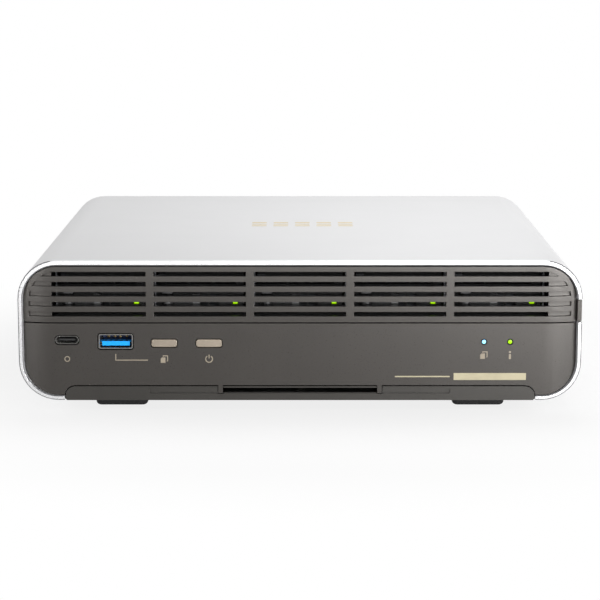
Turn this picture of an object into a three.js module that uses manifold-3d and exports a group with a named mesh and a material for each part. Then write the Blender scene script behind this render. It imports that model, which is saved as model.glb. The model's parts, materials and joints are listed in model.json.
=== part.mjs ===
// Five-bay flash storage enclosure, built as the separate pieces that it comes apart into.
// Lengths are in millimetres. X runs to the right, the front faces -Y and Z is up.
// The origin is the middle of the footprint, on the surface that the feet stand on.

import * as THREE from "three";
import { mergeVertices } from "three/addons/utils/BufferGeometryUtils.js";
import Module from "manifold-3d";

const wasm = await Module();
wasm.setup();

// Whole enclosure
const CASE_WIDTH = 215;
const CASE_DEPTH = 199;
const CASE_HEIGHT = 60;
const FOOT_HEIGHT = 5.8;

// Clearances
const SEAT_GAP = 0.3; // between a piece and what carries it
const PANEL_GAP = 0.3; // between the shell and the panels in its mouths
const SEAM_GAP = 0.4; // between the bay cover and the bezel under it
const OVERRUN = 1; // how far a cutter runs past what it cuts
const WELD = 0.2; // how far joined solids reach into each other

// Facets: the curve classes put two steps on an arc for each one named here
const CORNER_STEPS = 5;
const SMALL_STEPS = 2;
const ROUND_STEPS = 24;
const FINE_STEPS = 12;
const FOOT_STEPS = 3;
const MERGE_DISTANCE = 1e-4;

// Outer shell: one bent sleeve, open in front, behind and underneath
const SHELL_WALL = 1.8;
const SHELL_TOP_WALL = 2.1;
const SHELL_CORNER = 15;
const SHELL_EDGE = 0.4;
const SHELL_LIP = 17.3;
const NOTCH_HEIGHT = 9;
const NOTCH_DEPTH = 9.5;
const NOTCH_GAP = 0.5;
const PULL_ROOT_SET_BACK = 3;

// Panels in the front mouth: the bay cover above the bezel
const COVER_HEIGHT = 24.1;
const PANEL_FACE = 2.2;
const PANEL_RIM = 1.6;
const PANEL_DEPTH = 8.8;
const PANEL_END_LENGTH = 14.5;
const PANEL_END_RADIUS = 38;

// Grille of the bay cover
const BAYS = 5;
const GRILLE_MARGIN = 12.9;
const GRILLE_RIB = 3;
const SLOT_ROWS = 5;
const SLOT_DROP = 4.4;
const SLOT_HEIGHT = 1.7;
const SLOT_PITCH = 3.87;
const GROOVE_DEPTH = 1;
const GROOVE_MARGIN = 2;
const COVER_HOOK_SHARES = [-1.5, -0.5, 0.5, 1.5]; // of a bay's pitch, from the middle
const COVER_HOOK_WIDTH = 8;
const COVER_HOOK_LENGTH = 3;
const COVER_HOOK_THICKNESS = 1;

// Base plate: floor, front strip, side ledges, posts and screw tabs
const FLOOR_THICKNESS = 1.8;
const LEDGE_REACH = 4;
const LEDGE_ROOT = 3;
const LEDGE_THICKNESS = 1.2;
const STRIP_HEIGHT = 5.44;
const STRIP_THICKNESS = 2.2;
const STRIP_CORNER = 3.75;
const STRIP_CHAMFER = 0.6;
const STRIP_SLOT_WIDTH = 59.2;
const STRIP_SLOT_LIFT = 3.8;
const STRIP_SLOT_HEIGHT = 1.84;
const STRIP_RECESS_WIDTH = 115.2;
const STRIP_RECESS_HEIGHT = 2.2;
const STRIP_RECESS_DEPTH = 0.6;
const LEG_WIDTH = 1.7;
const LEG_DEPTH = 0.9;
const FLOOR_VENT_ROWS = 2;
const FLOOR_VENT_COUNT = 9;
const FLOOR_VENT_WIDTH = 2.4;
const FLOOR_VENT_LENGTH = 34;
const FLOOR_VENT_PITCH = 7;
const FLOOR_VENT_ROW_PITCH = 50;
const FLOOR_VENT_CENTRE = 8;
const POST_RADIUS = 2.6;
const TAB_WIDTH = 10;
const TAB_HEIGHT = 9;
const TAB_THICKNESS = 2;
const TAB_ARM = 1.5;

// Rubber feet
const FOOT_WIDTH = 20.4;
const FOOT_CORNER = 2.4;
const FOOT_EDGE = 0.8; // the rounding around the sole
const FOOT_RECESS = 0.6;
const FOOT_INSET = 37.7;
const FOOT_SET_BACK = 26.4;

// Main board and the front connector board
const BOARD_THICKNESS = 1.6;
const MAIN_BOARD_LIFT = 6.9;
const MAIN_BOARD_MARGIN = 20.5;
const MAIN_BOARD_FRONT_INSET = 41.5;
const MAIN_BOARD_BACK_INSET = 6.5;
const POST_INSET = 7;
const FRONT_BOARD_DROP = 12.9;
const FRONT_BOARD_MARGIN = 14.5;
const FRONT_BOARD_START = 8;
const FRONT_BOARD_DEPTH = 26;
const CHIP_HEIGHT = 1.2;
const CHIP_SIZE = 11;
const CHIP_COUNT = 8;
const CHIP_PITCH = 17;
const COIL_SIZE = 7;
const COIL_HEIGHT = 5;
const COIL_COUNT = 5;
const COIL_PITCH = 9;
const PROCESSOR_SIZE = 26;
const PROCESSOR_HEIGHT = 1.8;

// Front connectors, buttons and lights: in from the case's nearer side, and down from the seam
const OPENING_GAP = 0.3;
const CONNECTOR_SET_BACK = 0.3;
const USB_A_INSET = 37.1;
const USB_A_DROP = 7.25;
const USB_A_WIDTH = 13.1;
const USB_A_HEIGHT = 5.7;
const USB_A_DEPTH = 14;
const USB_A_WALL = 0.4;
const USB_A_CORNER = 0.7;
const USB_A_GAP = 0.4;
const USB_A_TONGUE_WIDTH = 10.6;
const USB_A_TONGUE_HEIGHT = 1.7;
const USB_A_TONGUE_DROP = 1.05;
const USB_A_TONGUE_SET_BACK = 1.6;
const USB_C_INSET = 18.55;
const USB_C_DROP = 6.68;
const USB_C_WIDTH = 8.94;
const USB_C_HEIGHT = 3.26;
const USB_C_DEPTH = 8;
const USB_C_WALL = 0.35;
const USB_C_TONGUE_WIDTH = 6.2;
const USB_C_TONGUE_HEIGHT = 0.8;
const USB_C_TONGUE_SET_BACK = 1;
const BUTTON_DROP = 7.9;
const COPY_BUTTON_INSET = 55.66;
const POWER_BUTTON_INSET = 72.75;
const BUTTON_WIDTH = 9.8;
const BUTTON_HEIGHT = 3;
const BUTTON_CORNER = 0.9;
const BUTTON_FLANGE = 1;
const BUTTON_STEM_RADIUS = 1.4;
const BUTTON_STEM_LENGTH = 2;
const BUTTON_TRAVEL = 0.8;
const SWITCH_SIZE = 5.2;
const SWITCH_DEPTH = 3.6;
const SWITCH_PLUNGER_RADIUS = 1.6;
const SWITCH_PLUNGER_LENGTH = 0.8;
const LIGHT_DROP = 7.35;
const COPY_LIGHT_INSET = 37.25;
const STATUS_LIGHT_INSET = 27.29;
const LIGHT_RADIUS = 0.9;
const LIGHT_LENGTH = 8;
const LAMP_SIZE = 2;
const LAMP_HEIGHT = 4.8;

// Drive cage and backplane
const SHEET = 0.8;
const CAGE_MARGIN = 11.85;
const CAGE_HEAD_ROOM = 1;
const CAGE_LIFT = 1.2;
const CAGE_SET_BACK = 11.2;
const CAGE_BACK_INSET = 65.8;
const CAGE_WINDOW_WIDTH = 20;
const CAGE_WINDOW_MARGIN = 22;
const CAGE_LEG_WIDTH = 12;
const CAGE_LEG_THICKNESS = 1.2;
const CAGE_LEG_FOOT = 4.5;
const CAGE_LEG_MARGIN = 14.1;
const CAGE_LEG_INSET = 32;
const BACKPLANE_HEIGHT = 18;
const BACKPLANE_SOCKET_WIDTH = 24;
const BACKPLANE_SOCKET_HEIGHT = 6;
const BACKPLANE_SOCKET_DEPTH = 4;

// Drive tray, its lever and light pipe, in the frame of one bay
const TRAY_SIDE_GAP = 0.75;
const TRAY_FLOOR = 1.2;
const TRAY_WALL = 0.85;
const TRAY_WALL_HEIGHT = 10;
const TRAY_FACE = 1.8;
const TRAY_SET_BACK = 10.5;
const TRAY_END_GAP = 2.7;
const TRAY_VENT_COUNT = 3;
const TRAY_VENT_MARGIN = 4.1;
const TRAY_VENT_WEB = 0.8;
const TRAY_VENT_HEIGHT = 2.8;
const TRAY_VENT_LIFT = 12.2;
const TRAY_EDGE = 0.6; // the side walls' front edges beside the face's windows
const TRAY_WINDOW_WIDTH = 3.7;
const TRAY_WINDOW_DROP = 0.9;
const TRAY_SLIT_WIDTH = 0.8;
const FINGER_HOLE_START = -0.1;
const FINGER_HOLE_WIDTHS = [2.7, 3.6];
const FINGER_HOLE_WEB = 0.7;
const FINGER_HOLE_LIFT = 2.8;
const FINGER_HOLE_HEIGHT = 5.4;
const LEVER_PIVOT_MARGIN = 5.2;
const LEVER_PIVOT_SET_BACK = 8;
const LEVER_LIFT = 3.5;
const LEVER_HEIGHT = 5.3;
const LEVER_END_X = -0.4;
const LEVER_THICKNESS = 1.7;
const LEVER_TIP_LENGTH = 2.7;
const LEVER_TIP_RAISE = 0.6;
const LEVER_BARREL_RADIUS = 2.2;
const LEVER_PIN_RADIUS = 0.9;
const LEVER_EAR_THICKNESS = 1;
const BAY_LIGHT_MARGIN = 4.75;
const BAY_LIGHT_LIFT = 4.85;
const BAY_LIGHT_WIDTH = 1.8;
const BAY_LIGHT_HEIGHT = 0.8;

// Flash drive with a finned cover
const DRIVE_HEIGHT = 15;
const DRIVE_FRONT_GAP = 3;
const DRIVE_FIN_GROOVES = 6;
const DRIVE_GROOVE_WIDTH = 2;
const DRIVE_GROOVE_DEPTH = 4;

// Heat sink on the processor
const SINK_SIDE_MARGIN = 4.9;
const SINK_TO_FAN = 4.8;
const SINK_LENGTH = 30;
const SINK_BASE = 3;
const SINK_HEAD_ROOM = 6;
const SINK_FIN = 1.2;
const SINK_FIN_PITCH = 5.9;

// Fans that blow out through the rear panel
const FAN_COUNT = 2;
const FAN_CLEARANCE = 0.9;
const FAN_GAP = 1.8;
const FAN_SIDE_GAP = 0.6;
const FAN_DEPTH = 20;
const FAN_CORNER = 3;
const FAN_RIM = 1;
const FAN_HUB_RADIUS = 8;
const FAN_PLATE = 2;
const FAN_STRUT_WIDTH = 2.2;
const FAN_PIN_RADIUS = 1.5;
const FAN_PIN_LENGTH = 11;
const FAN_PIN_GAP = 0.3;
const ROTOR_DEPTH = 14;
const BLADE_COUNT = 7;
const BLADE_TIP_GAP = 1.7;
const BLADE_CHORD = 12.5;
const BLADE_THICKNESS = 1.1;
const BLADE_ROOT_PITCH = 0.95;
const BLADE_TIP_PITCH = 0.55;
const BLADE_STEPS = 2;

// Rear panel
const REAR_RECESS = 0.8;
const REAR_THICKNESS = 1.6;
const REAR_PORT_GAP = 0.4;
const FAN_VENT_HEIGHT = 3;
const FAN_VENT_PITCH = 5;
const REAR_VENT_PITCH = 6;
const REAR_VENT_WIDTH = 3;
const REAR_VENT_DROP = 5.7;
const REAR_VENT_LIFT = 7.5;
const LOCK_SLOT_MARGIN = 12.5;
const LOCK_SLOT_WIDTH = 3;
const LOCK_SLOT_HEIGHT = 7;
const SCREW_MARGIN = 11.5;
const SCREW_HEAD_RADIUS = 2.6;
const SCREW_HEAD_HEIGHT = 0.7;
const SCREW_SHANK_RADIUS = 1.4;
const SCREW_SHANK_LENGTH = 5;

// Rear connectors on the main board, side by side from its left edge
const PORT_PROUD = 0.4;
const PORT_SPACING = 1.2;
const PORT_EDGE_INSET = 1.5;
const POWER_JACK_WIDTH = 9;
const POWER_JACK_HEIGHT = 11;
const POWER_JACK_DEPTH = 13;
const POWER_JACK_RADIUS = 3.4;
const POWER_JACK_PIN_RADIUS = 1;
const REAR_USB_C_LIFT = 2;
const REAR_USB_A_WIDTH = 14.4;
const REAR_USB_A_HEIGHT = 15.6;
const REAR_USB_A_DEPTH = 17;
const HDMI_WIDTH = 15;
const HDMI_HEIGHT = 6;
const HDMI_DEPTH = 11;
const NETWORK_WIDTH = 16;
const NETWORK_HEIGHT = 13.5;
const NETWORK_DEPTH = 21;
const NETWORK_OPENING_WIDTH = 11.8;
const NETWORK_OPENING_HEIGHT = 7.6;
const NETWORK_OPENING_DEPTH = 12;
const NETWORK_KEY_WIDTH = 6;
const NETWORK_KEY_HEIGHT = 2;
const PORT_WALL = 0.6;
const PORT_TONGUE = 1;
const RESET_GAP = 0.4;
const RESET_LIFT = 4.4;
const RESET_RADIUS = 1.1;
const RESET_LENGTH = 4;
const RESET_RECESS = 1;

// Colours, each with its roughness and metalness
const FINISHES = {
  silver: [0xdcdcdc, 0.35, 0.6],
  bronze: [0x56534e, 0.55, 0.1],
  strip: [0x4c4a46, 0.5, 0.1],
  champagne: [0xc3b6a8, 0.4, 0.3],
  rubber: [0x2a2a2a, 0.9, 0],
  black: [0x1b1b1c, 0.6, 0],
  steel: [0xb9bbbd, 0.35, 0.9],
  board: [0x1d4a34, 0.6, 0],
  blue: [0x1f9fff, 0.5, 0],
  green_light: [0xc8f000, 0.3, 0],
  blue_light: [0xc8f0ff, 0.3, 0],
  aluminium: [0x9a9c9f, 0.4, 0.9],
};

// Edges and levels that several pieces share
const halfWidth = CASE_WIDTH / 2;
const frontY = -CASE_DEPTH / 2;
const backY = CASE_DEPTH / 2;
const seamLevel = CASE_HEIGHT - COVER_HEIGHT;
const bayPitch = (CASE_WIDTH - 2 * CAGE_MARGIN - SHEET) / BAYS;
const bayCentres = evenly(BAYS, bayPitch);
const grilleHalf = halfWidth - GRILLE_MARGIN;
const innerHalf = halfWidth - SHELL_WALL;
const innerTop = CASE_HEIGHT - SHELL_TOP_WALL;
const innerBottom = FOOT_HEIGHT + SHELL_WALL;
const floorTop = FOOT_HEIGHT + FLOOR_THICKNESS;
const openBelow = CASE_WIDTH - 2 * SHELL_LIP;
const baseHalf = openBelow / 2 - SEAT_GAP;
const ledgeBottom = innerBottom + SEAT_GAP;
const ledgeTop = ledgeBottom + LEDGE_THICKNESS;
const stripTop = FOOT_HEIGHT + STRIP_HEIGHT;
const stripSlotLevel = FOOT_HEIGHT + STRIP_SLOT_LIFT;
const mainBoardLevel = floorTop + MAIN_BOARD_LIFT;
const mainBoardTop = mainBoardLevel + BOARD_THICKNESS;
const mainBoardHalf = halfWidth - MAIN_BOARD_MARGIN;
const mainBoardFront = frontY + MAIN_BOARD_FRONT_INSET;
const mainBoardBack = backY - MAIN_BOARD_BACK_INSET;
const frontBoardLevel = seamLevel - FRONT_BOARD_DROP;
const frontBoardHalf = halfWidth - FRONT_BOARD_MARGIN;
const frontBoardTop = frontBoardLevel + BOARD_THICKNESS;
const usbAX = -halfWidth + USB_A_INSET;
const usbCX = -halfWidth + USB_C_INSET;
const copyButtonX = -halfWidth + COPY_BUTTON_INSET;
const powerButtonX = -halfWidth + POWER_BUTTON_INSET;
const copyLightX = halfWidth - COPY_LIGHT_INSET;
const statusLightX = halfWidth - STATUS_LIGHT_INSET;
const usbALevel = seamLevel - USB_A_DROP;
const usbCLevel = seamLevel - USB_C_DROP;
const buttonLevel = seamLevel - BUTTON_DROP;
const lightLevel = seamLevel - LIGHT_DROP;
const cageFloorLevel = seamLevel + CAGE_LIFT;
const cageTopLevel = innerTop - CAGE_HEAD_ROOM;
const cageFront = frontY + CAGE_SET_BACK;
const cageBack = backY - CAGE_BACK_INSET;
const trayFront = frontY + TRAY_SET_BACK;
const panelInside = frontY + PANEL_FACE;
const rearOutside = backY - REAR_RECESS;
const rearInside = rearOutside - REAR_THICKNESS;
const notchBottom = seamLevel + SEAM_GAP / 2;
const screwX = halfWidth - SCREW_MARGIN;
const screwLevels = [FOOT_HEIGHT + SCREW_MARGIN, CASE_HEIGHT - SCREW_MARGIN];

// Rear connectors stand side by side from the board's left edge, then comes the reset pin
const portBack = rearOutside + PORT_PROUD;
const portBottom = mainBoardTop + SEAT_GAP;
const portsLeft = -mainBoardHalf + PORT_EDGE_INSET;
const portWidths = [
  POWER_JACK_WIDTH,
  USB_C_WIDTH,
  REAR_USB_A_WIDTH,
  HDMI_WIDTH,
  NETWORK_WIDTH,
  NETWORK_WIDTH,
];
const portCentres = portWidths.map(
  (width, i) => portsLeft + sum(portWidths.slice(0, i)) + i * PORT_SPACING + width / 2,
);
const portXs = {
  power: portCentres[0],
  usbC: portCentres[1],
  usbA: portCentres[2],
  video: portCentres[3],
  network: portCentres.slice(4),
};
const resetReach = RESET_RADIUS + RESET_RECESS;
const resetX = portXs.network[1] + NETWORK_WIDTH / 2 + RESET_GAP + resetReach;
const resetLevel = mainBoardTop + RESET_LIFT;

// The fans share the room between the reset pin and the right-hand screw tab
const fansRight = baseHalf - TAB_ARM - FAN_SIDE_GAP;
const fansLeft = resetX + resetReach + FAN_SIDE_GAP;
const fanRoomAcross = (fansRight - fansLeft - (FAN_COUNT - 1) * FAN_GAP) / FAN_COUNT;
const fanRoomUp = innerTop - mainBoardTop - 2 * FAN_CLEARANCE;
const fanSize = Math.min(fanRoomAcross, fanRoomUp);
const fanPitch = fanSize + FAN_GAP;
const fanBore = fanSize / 2 - FAN_RIM;
const fanLevel = (innerTop + mainBoardTop) / 2;
const fansWidth = FAN_COUNT * fanPitch - FAN_GAP;
const fansMiddle = fansRight - fansWidth / 2;
const fanXs = evenly(FAN_COUNT, fanPitch).map((x) => fansMiddle + x);
const fanBack = rearInside - SEAT_GAP;
const fanFront = fanBack - FAN_DEPTH;
const plateFront = fanBack - FAN_PLATE;
const sinkMiddle = fanFront - SINK_TO_FAN - SINK_LENGTH / 2;

function sum(values) {
  return values.reduce((total, value) => total + value, 0);
}

// Places of a row of copies, centred on zero
function evenly(count, pitch) {
  return Array.from({ length: count }, (_, i) => (i - (count - 1) / 2) * pitch);
}

// A span of a size about a centre, as [low, high]
function around(centre, size) {
  return [centre - size / 2, centre + size / 2];
}

// A closed geometry as a solid that can be joined and cut
function solidOf(geometry) {
  const bare = new THREE.BufferGeometry();
  const source = geometry.index ? geometry.toNonIndexed() : geometry;
  bare.setAttribute("position", source.getAttribute("position").clone());
  const merged = mergeVertices(bare, MERGE_DISTANCE);
  const mesh = new wasm.Mesh({
    numProp: 3,
    vertProperties: merged.attributes.position.array,
    triVerts: new Uint32Array(merged.index.array),
  });
  return new wasm.Manifold(mesh);
}

function geometryOf(solid) {
  const mesh = solid.getMesh();
  const geometry = new THREE.BufferGeometry();
  const corners = new Float32Array(mesh.vertProperties);
  geometry.setAttribute("position", new THREE.BufferAttribute(corners, 3));
  geometry.setIndex(new THREE.BufferAttribute(new Uint32Array(mesh.triVerts), 1));
  geometry.computeVertexNormals();
  return geometry;
}

function join(...solids) {
  return solids.reduce((whole, part) => whole.add(part));
}

function cut(whole, ...cutters) {
  return cutters.reduce((rest, cutter) => rest.subtract(cutter), whole);
}

// A box between spans on the three axes
function block(x, y, z) {
  const geometry = new THREE.BoxGeometry(x[1] - x[0], y[1] - y[0], z[1] - z[0]);
  geometry.translate((x[0] + x[1]) / 2, (y[0] + y[1]) / 2, (z[0] + z[1]) / 2);
  return solidOf(geometry);
}

// An outline drawn in X and Z, extruded along Y
function prismAlongY(outline, y, steps = CORNER_STEPS) {
  const options = { depth: y[1] - y[0], bevelEnabled: false, curveSegments: steps };
  const geometry = new THREE.ExtrudeGeometry(outline, options);
  geometry.rotateX(Math.PI / 2);
  geometry.translate(0, y[1], 0);
  return solidOf(geometry);
}

// An outline drawn in X and Y, extruded along Z
function prismAlongZ(outline, z, steps = CORNER_STEPS) {
  const options = { depth: z[1] - z[0], bevelEnabled: false, curveSegments: steps };
  const geometry = new THREE.ExtrudeGeometry(outline, options);
  geometry.translate(0, 0, z[0]);
  return solidOf(geometry);
}

function rodAlongY(x, z, radius, y, steps = ROUND_STEPS) {
  const geometry = new THREE.CylinderGeometry(radius, radius, y[1] - y[0], steps);
  geometry.translate(x, (y[0] + y[1]) / 2, z);
  return solidOf(geometry);
}

function rodAlongZ(x, y, radius, z, steps = ROUND_STEPS) {
  const geometry = new THREE.CylinderGeometry(radius, radius, z[1] - z[0], steps);
  geometry.rotateX(Math.PI / 2);
  geometry.translate(x, y, (z[0] + z[1]) / 2);
  return solidOf(geometry);
}

// A rectangle with four round corners, as a shape in the plane of its two spans
function roundedRectangle(across, up, radius) {
  const [left, right] = across;
  const [low, high] = up;
  const shape = new THREE.Shape();
  shape.moveTo(left + radius, low);
  shape.lineTo(right - radius, low);
  shape.absarc(right - radius, low + radius, radius, -Math.PI / 2, 0);
  shape.lineTo(right, high - radius);
  shape.absarc(right - radius, high - radius, radius, 0, Math.PI / 2);
  shape.lineTo(left + radius, high);
  shape.absarc(left + radius, high - radius, radius, Math.PI / 2, Math.PI);
  shape.lineTo(left, low + radius);
  shape.absarc(left + radius, low + radius, radius, Math.PI, Math.PI * 1.5);
  return shape;
}

const materials = Object.fromEntries(
  Object.entries(FINISHES).map(([name, [color, roughness, metalness]]) => [
    name,
    new THREE.MeshStandardMaterial({ name, color, roughness, metalness }),
  ]),
);

function piece(name, solid, finish) {
  const mesh = new THREE.Mesh(geometryOf(solid), materials[finish]);
  mesh.name = name;
  return mesh;
}

// The shell's inner outline, drawn in by an inset and extruded along Y
function mouth(inset, y) {
  const across = [-innerHalf + inset, innerHalf - inset];
  const up = [innerBottom + inset, innerTop - inset];
  return prismAlongY(roundedRectangle(across, up, SHELL_CORNER - SHELL_WALL - inset), y);
}

// The space behind the front's curved surface: flat in the middle, drawn back at both ends
function behindFront(setBack, depth) {
  const flatHalf = halfWidth - PANEL_END_LENGTH;
  const turn = Math.asin((halfWidth - flatHalf) / PANEL_END_RADIUS);
  const centreY = frontY + setBack + PANEL_END_RADIUS;
  const down = -Math.PI / 2;
  const plan = new THREE.Shape();
  plan.absarc(-flatHalf, centreY, PANEL_END_RADIUS, down - turn, down);
  plan.absarc(flatHalf, centreY, PANEL_END_RADIUS, down, down + turn);
  plan.lineTo(halfWidth, frontY + depth);
  plan.lineTo(-halfWidth, frontY + depth);
  return prismAlongZ(plan, [0, CASE_HEIGHT + OVERRUN], SMALL_STEPS);
}

// A front panel: a thin face with a rim that runs back around its outline
function panelTray(outlineAt) {
  const outer = outlineAt(0).intersect(behindFront(0, PANEL_DEPTH));
  const hollow = outlineAt(PANEL_RIM).intersect(behindFront(PANEL_FACE, PANEL_DEPTH + OVERRUN));
  return cut(outer, hollow);
}

const frontSpan = [frontY - OVERRUN, frontY + PANEL_DEPTH + OVERRUN];

function makeOuterShell() {
  const outline = roundedRectangle([-halfWidth, halfWidth], [FOOT_HEIGHT, CASE_HEIGHT], SHELL_CORNER);
  const across = [-innerHalf, innerHalf];
  const inner = roundedRectangle(across, [innerBottom, innerTop], SHELL_CORNER - SHELL_WALL);
  outline.holes.push(inner);
  const geometry = new THREE.ExtrudeGeometry(outline, {
    depth: CASE_DEPTH - 2 * SHELL_EDGE,
    bevelThickness: SHELL_EDGE,
    bevelSize: SHELL_EDGE,
    bevelOffset: -SHELL_EDGE,
    bevelSegments: 1,
    curveSegments: CORNER_STEPS,
  });
  geometry.rotateX(Math.PI / 2);
  geometry.translate(0, backY - SHELL_EDGE, 0);
  const under = block(
    around(0, openBelow),
    around(0, CASE_DEPTH + 2 * OVERRUN),
    around(FOOT_HEIGHT, 2 * SHELL_WALL + OVERRUN),
  );
  const notch = block(
    [innerHalf - OVERRUN, halfWidth + OVERRUN],
    [frontY - OVERRUN, frontY + NOTCH_DEPTH],
    [notchBottom, notchBottom + NOTCH_HEIGHT],
  );
  const tabs = [-1, 1].map((side) => screwTab(side, screwLevels[1]));
  return join(cut(solidOf(geometry), under, notch), ...tabs);
}

// A tab on the shell's wall behind the rear panel, which takes an upper screw
function screwTab(side, level) {
  const inner = screwX - TAB_WIDTH / 2;
  const span = side > 0 ? [inner, halfWidth] : [-halfWidth, -inner];
  const y = [rearInside - SEAT_GAP - TAB_THICKNESS, rearInside - SEAT_GAP];
  const tab = block(span, y, around(level, TAB_HEIGHT)).intersect(mouth(-WELD, y));
  return cut(tab, screwHole(side * screwX, level));
}

function screwHole(x, level) {
  const y = [rearInside - TAB_THICKNESS - 2 * OVERRUN, backY + OVERRUN];
  return rodAlongY(x, level, SCREW_SHANK_RADIUS + SEAT_GAP, y, FINE_STEPS);
}

// Outline of the base's front strip, grown all round by a gap
function stripOutline(grow) {
  const half = baseHalf + grow;
  const top = stripTop + grow;
  const radius = STRIP_CORNER + grow;
  const bottom = FOOT_HEIGHT - grow;
  const shape = new THREE.Shape();
  shape.moveTo(-half + STRIP_CHAMFER, bottom);
  shape.lineTo(half - STRIP_CHAMFER, bottom);
  shape.lineTo(half, bottom + STRIP_CHAMFER);
  shape.lineTo(half, top - radius);
  shape.absarc(half - radius, top - radius, radius, 0, Math.PI / 2);
  shape.lineTo(-half + radius, top);
  shape.absarc(-half + radius, top - radius, radius, Math.PI / 2, Math.PI);
  shape.lineTo(-half, bottom + STRIP_CHAMFER);
  return shape;
}

// Where the bezel's two short legs cross the strip's recess
function legSpan(side, gap) {
  const inner = STRIP_SLOT_WIDTH / 2 - gap;
  const outer = STRIP_SLOT_WIDTH / 2 + LEG_WIDTH + gap;
  return side > 0 ? [inner, outer] : [-outer, -inner];
}

function makeStrip() {
  const strip = prismAlongY(stripOutline(0), [frontY, frontY + STRIP_THICKNESS], SMALL_STEPS);
  const through = [frontY - OVERRUN, frontY + STRIP_THICKNESS + OVERRUN];
  const slot = block(around(0, STRIP_SLOT_WIDTH), through, around(stripSlotLevel, STRIP_SLOT_HEIGHT));
  const recessOutline = roundedRectangle(
    around(0, STRIP_RECESS_WIDTH),
    around(stripSlotLevel, STRIP_RECESS_HEIGHT),
    STRIP_RECESS_HEIGHT / 2 - WELD,
  );
  const recess = prismAlongY(recessOutline, [frontY - OVERRUN, frontY + STRIP_RECESS_DEPTH], SMALL_STEPS);
  const notches = [-1, 1].map((side) =>
    block(
      legSpan(side, SEAT_GAP),
      [frontY - OVERRUN, frontY + LEG_DEPTH + SEAT_GAP],
      [stripSlotLevel - STRIP_RECESS_HEIGHT / 2 - SEAT_GAP, stripTop + OVERRUN],
    ),
  );
  return cut(strip, slot, recess, ...notches);
}

function postPlaces() {
  const half = mainBoardHalf - POST_INSET;
  const rows = [mainBoardFront + POST_INSET, mainBoardBack - POST_INSET];
  rows.push((rows[0] + rows[1]) / 2);
  return rows.flatMap((y) => [-half, half].map((x) => [x, y]));
}

function footPlaces() {
  const half = halfWidth - FOOT_INSET;
  const rows = [frontY + FOOT_SET_BACK, backY - FOOT_SET_BACK];
  return rows.flatMap((y) => [-half, half].map((x) => [x, y]));
}

function frontPostPlaces() {
  const half = frontBoardHalf - POST_INSET;
  const y = frontY + FRONT_BOARD_START + FRONT_BOARD_DEPTH - POST_INSET;
  return [-half, 0, half].map((x) => [x, y]);
}

function makeBasePlate() {
  const length = [frontY + STRIP_THICKNESS - WELD, rearOutside];
  const floor = block([-baseHalf, baseHalf], length, [FOOT_HEIGHT, floorTop]);
  const ledges = [-1, 1].map((side) => {
    const root = [baseHalf - LEDGE_ROOT, baseHalf];
    const shelf = [baseHalf - LEDGE_ROOT, baseHalf + LEDGE_REACH];
    const turned = (span) => (side > 0 ? span : [-span[1], -span[0]]);
    const run = [frontY + PANEL_DEPTH + SEAT_GAP, rearInside - TAB_THICKNESS - 2 * SEAT_GAP];
    return join(
      block(turned(root), run, [floorTop - WELD, ledgeTop]),
      block(turned(shelf), run, [ledgeBottom, ledgeTop]),
    );
  });
  const posts = postPlaces().map(([x, y]) =>
    rodAlongZ(x, y, POST_RADIUS, [floorTop - WELD, mainBoardLevel - SEAT_GAP], FINE_STEPS),
  );
  const frontPosts = frontPostPlaces().map(([x, y]) =>
    rodAlongZ(x, y, POST_RADIUS, [floorTop - WELD, frontBoardLevel - SEAT_GAP], FINE_STEPS),
  );
  const recesses = footPlaces().map(([x, y]) =>
    prismAlongZ(footOutline(SEAT_GAP), [FOOT_HEIGHT - OVERRUN, FOOT_HEIGHT + FOOT_RECESS], FOOT_STEPS)
      .translate([x, y, 0]),
  );
  const vents = [];
  for (const y of evenly(FLOOR_VENT_ROWS, FLOOR_VENT_ROW_PITCH))
    for (const x of evenly(FLOOR_VENT_COUNT, FLOOR_VENT_PITCH))
      vents.push(
        block(
          around(x, FLOOR_VENT_WIDTH),
          around(FLOOR_VENT_CENTRE + y, FLOOR_VENT_LENGTH),
          [FOOT_HEIGHT - OVERRUN, floorTop + OVERRUN],
        ),
      );
  const tabs = [-1, 1].map((side) => baseTab(side));
  const whole = join(floor, makeStrip(), ...ledges, ...posts, ...frontPosts, ...tabs);
  return cut(whole, ...recesses, ...vents);
}

// The screw tab at a lower rear corner, on an arm that reaches in over the floor
function baseTab(side) {
  const level = screwLevels[0];
  const y = [rearInside - SEAT_GAP - TAB_THICKNESS, rearInside - SEAT_GAP];
  const inner = baseHalf - TAB_ARM;
  const armTop = level + TAB_HEIGHT / 2;
  const span = side > 0 ? [inner, screwX + TAB_WIDTH / 2] : [-screwX - TAB_WIDTH / 2, -inner];
  const upright = side > 0 ? [inner, baseHalf] : [-baseHalf, -inner];
  const tab = block(span, y, around(level, TAB_HEIGHT));
  const arm = block(upright, y, [floorTop - WELD, armTop]);
  return cut(join(tab, arm), screwHole(side * screwX, level));
}

// A foot's plan, a round-cornered square grown by a gap
function footOutline(grow) {
  const span = around(0, FOOT_WIDTH + 2 * grow);
  return roundedRectangle(span, span, FOOT_CORNER + grow);
}

function makeFoot() {
  const top = FOOT_HEIGHT + FOOT_RECESS - SEAT_GAP;
  const geometry = new THREE.ExtrudeGeometry(footOutline(0), {
    depth: top,
    bevelThickness: FOOT_EDGE,
    bevelSize: FOOT_EDGE,
    bevelOffset: -FOOT_EDGE,
    bevelSegments: FOOT_STEPS,
    curveSegments: FOOT_STEPS,
  });
  geometry.translate(0, 0, FOOT_EDGE);
  const plan = around(0, FOOT_WIDTH + 2 * OVERRUN);
  const above = block(plan, plan, [top, top + 2 * FOOT_EDGE + OVERRUN]);
  return cut(solidOf(geometry), above);
}

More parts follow.
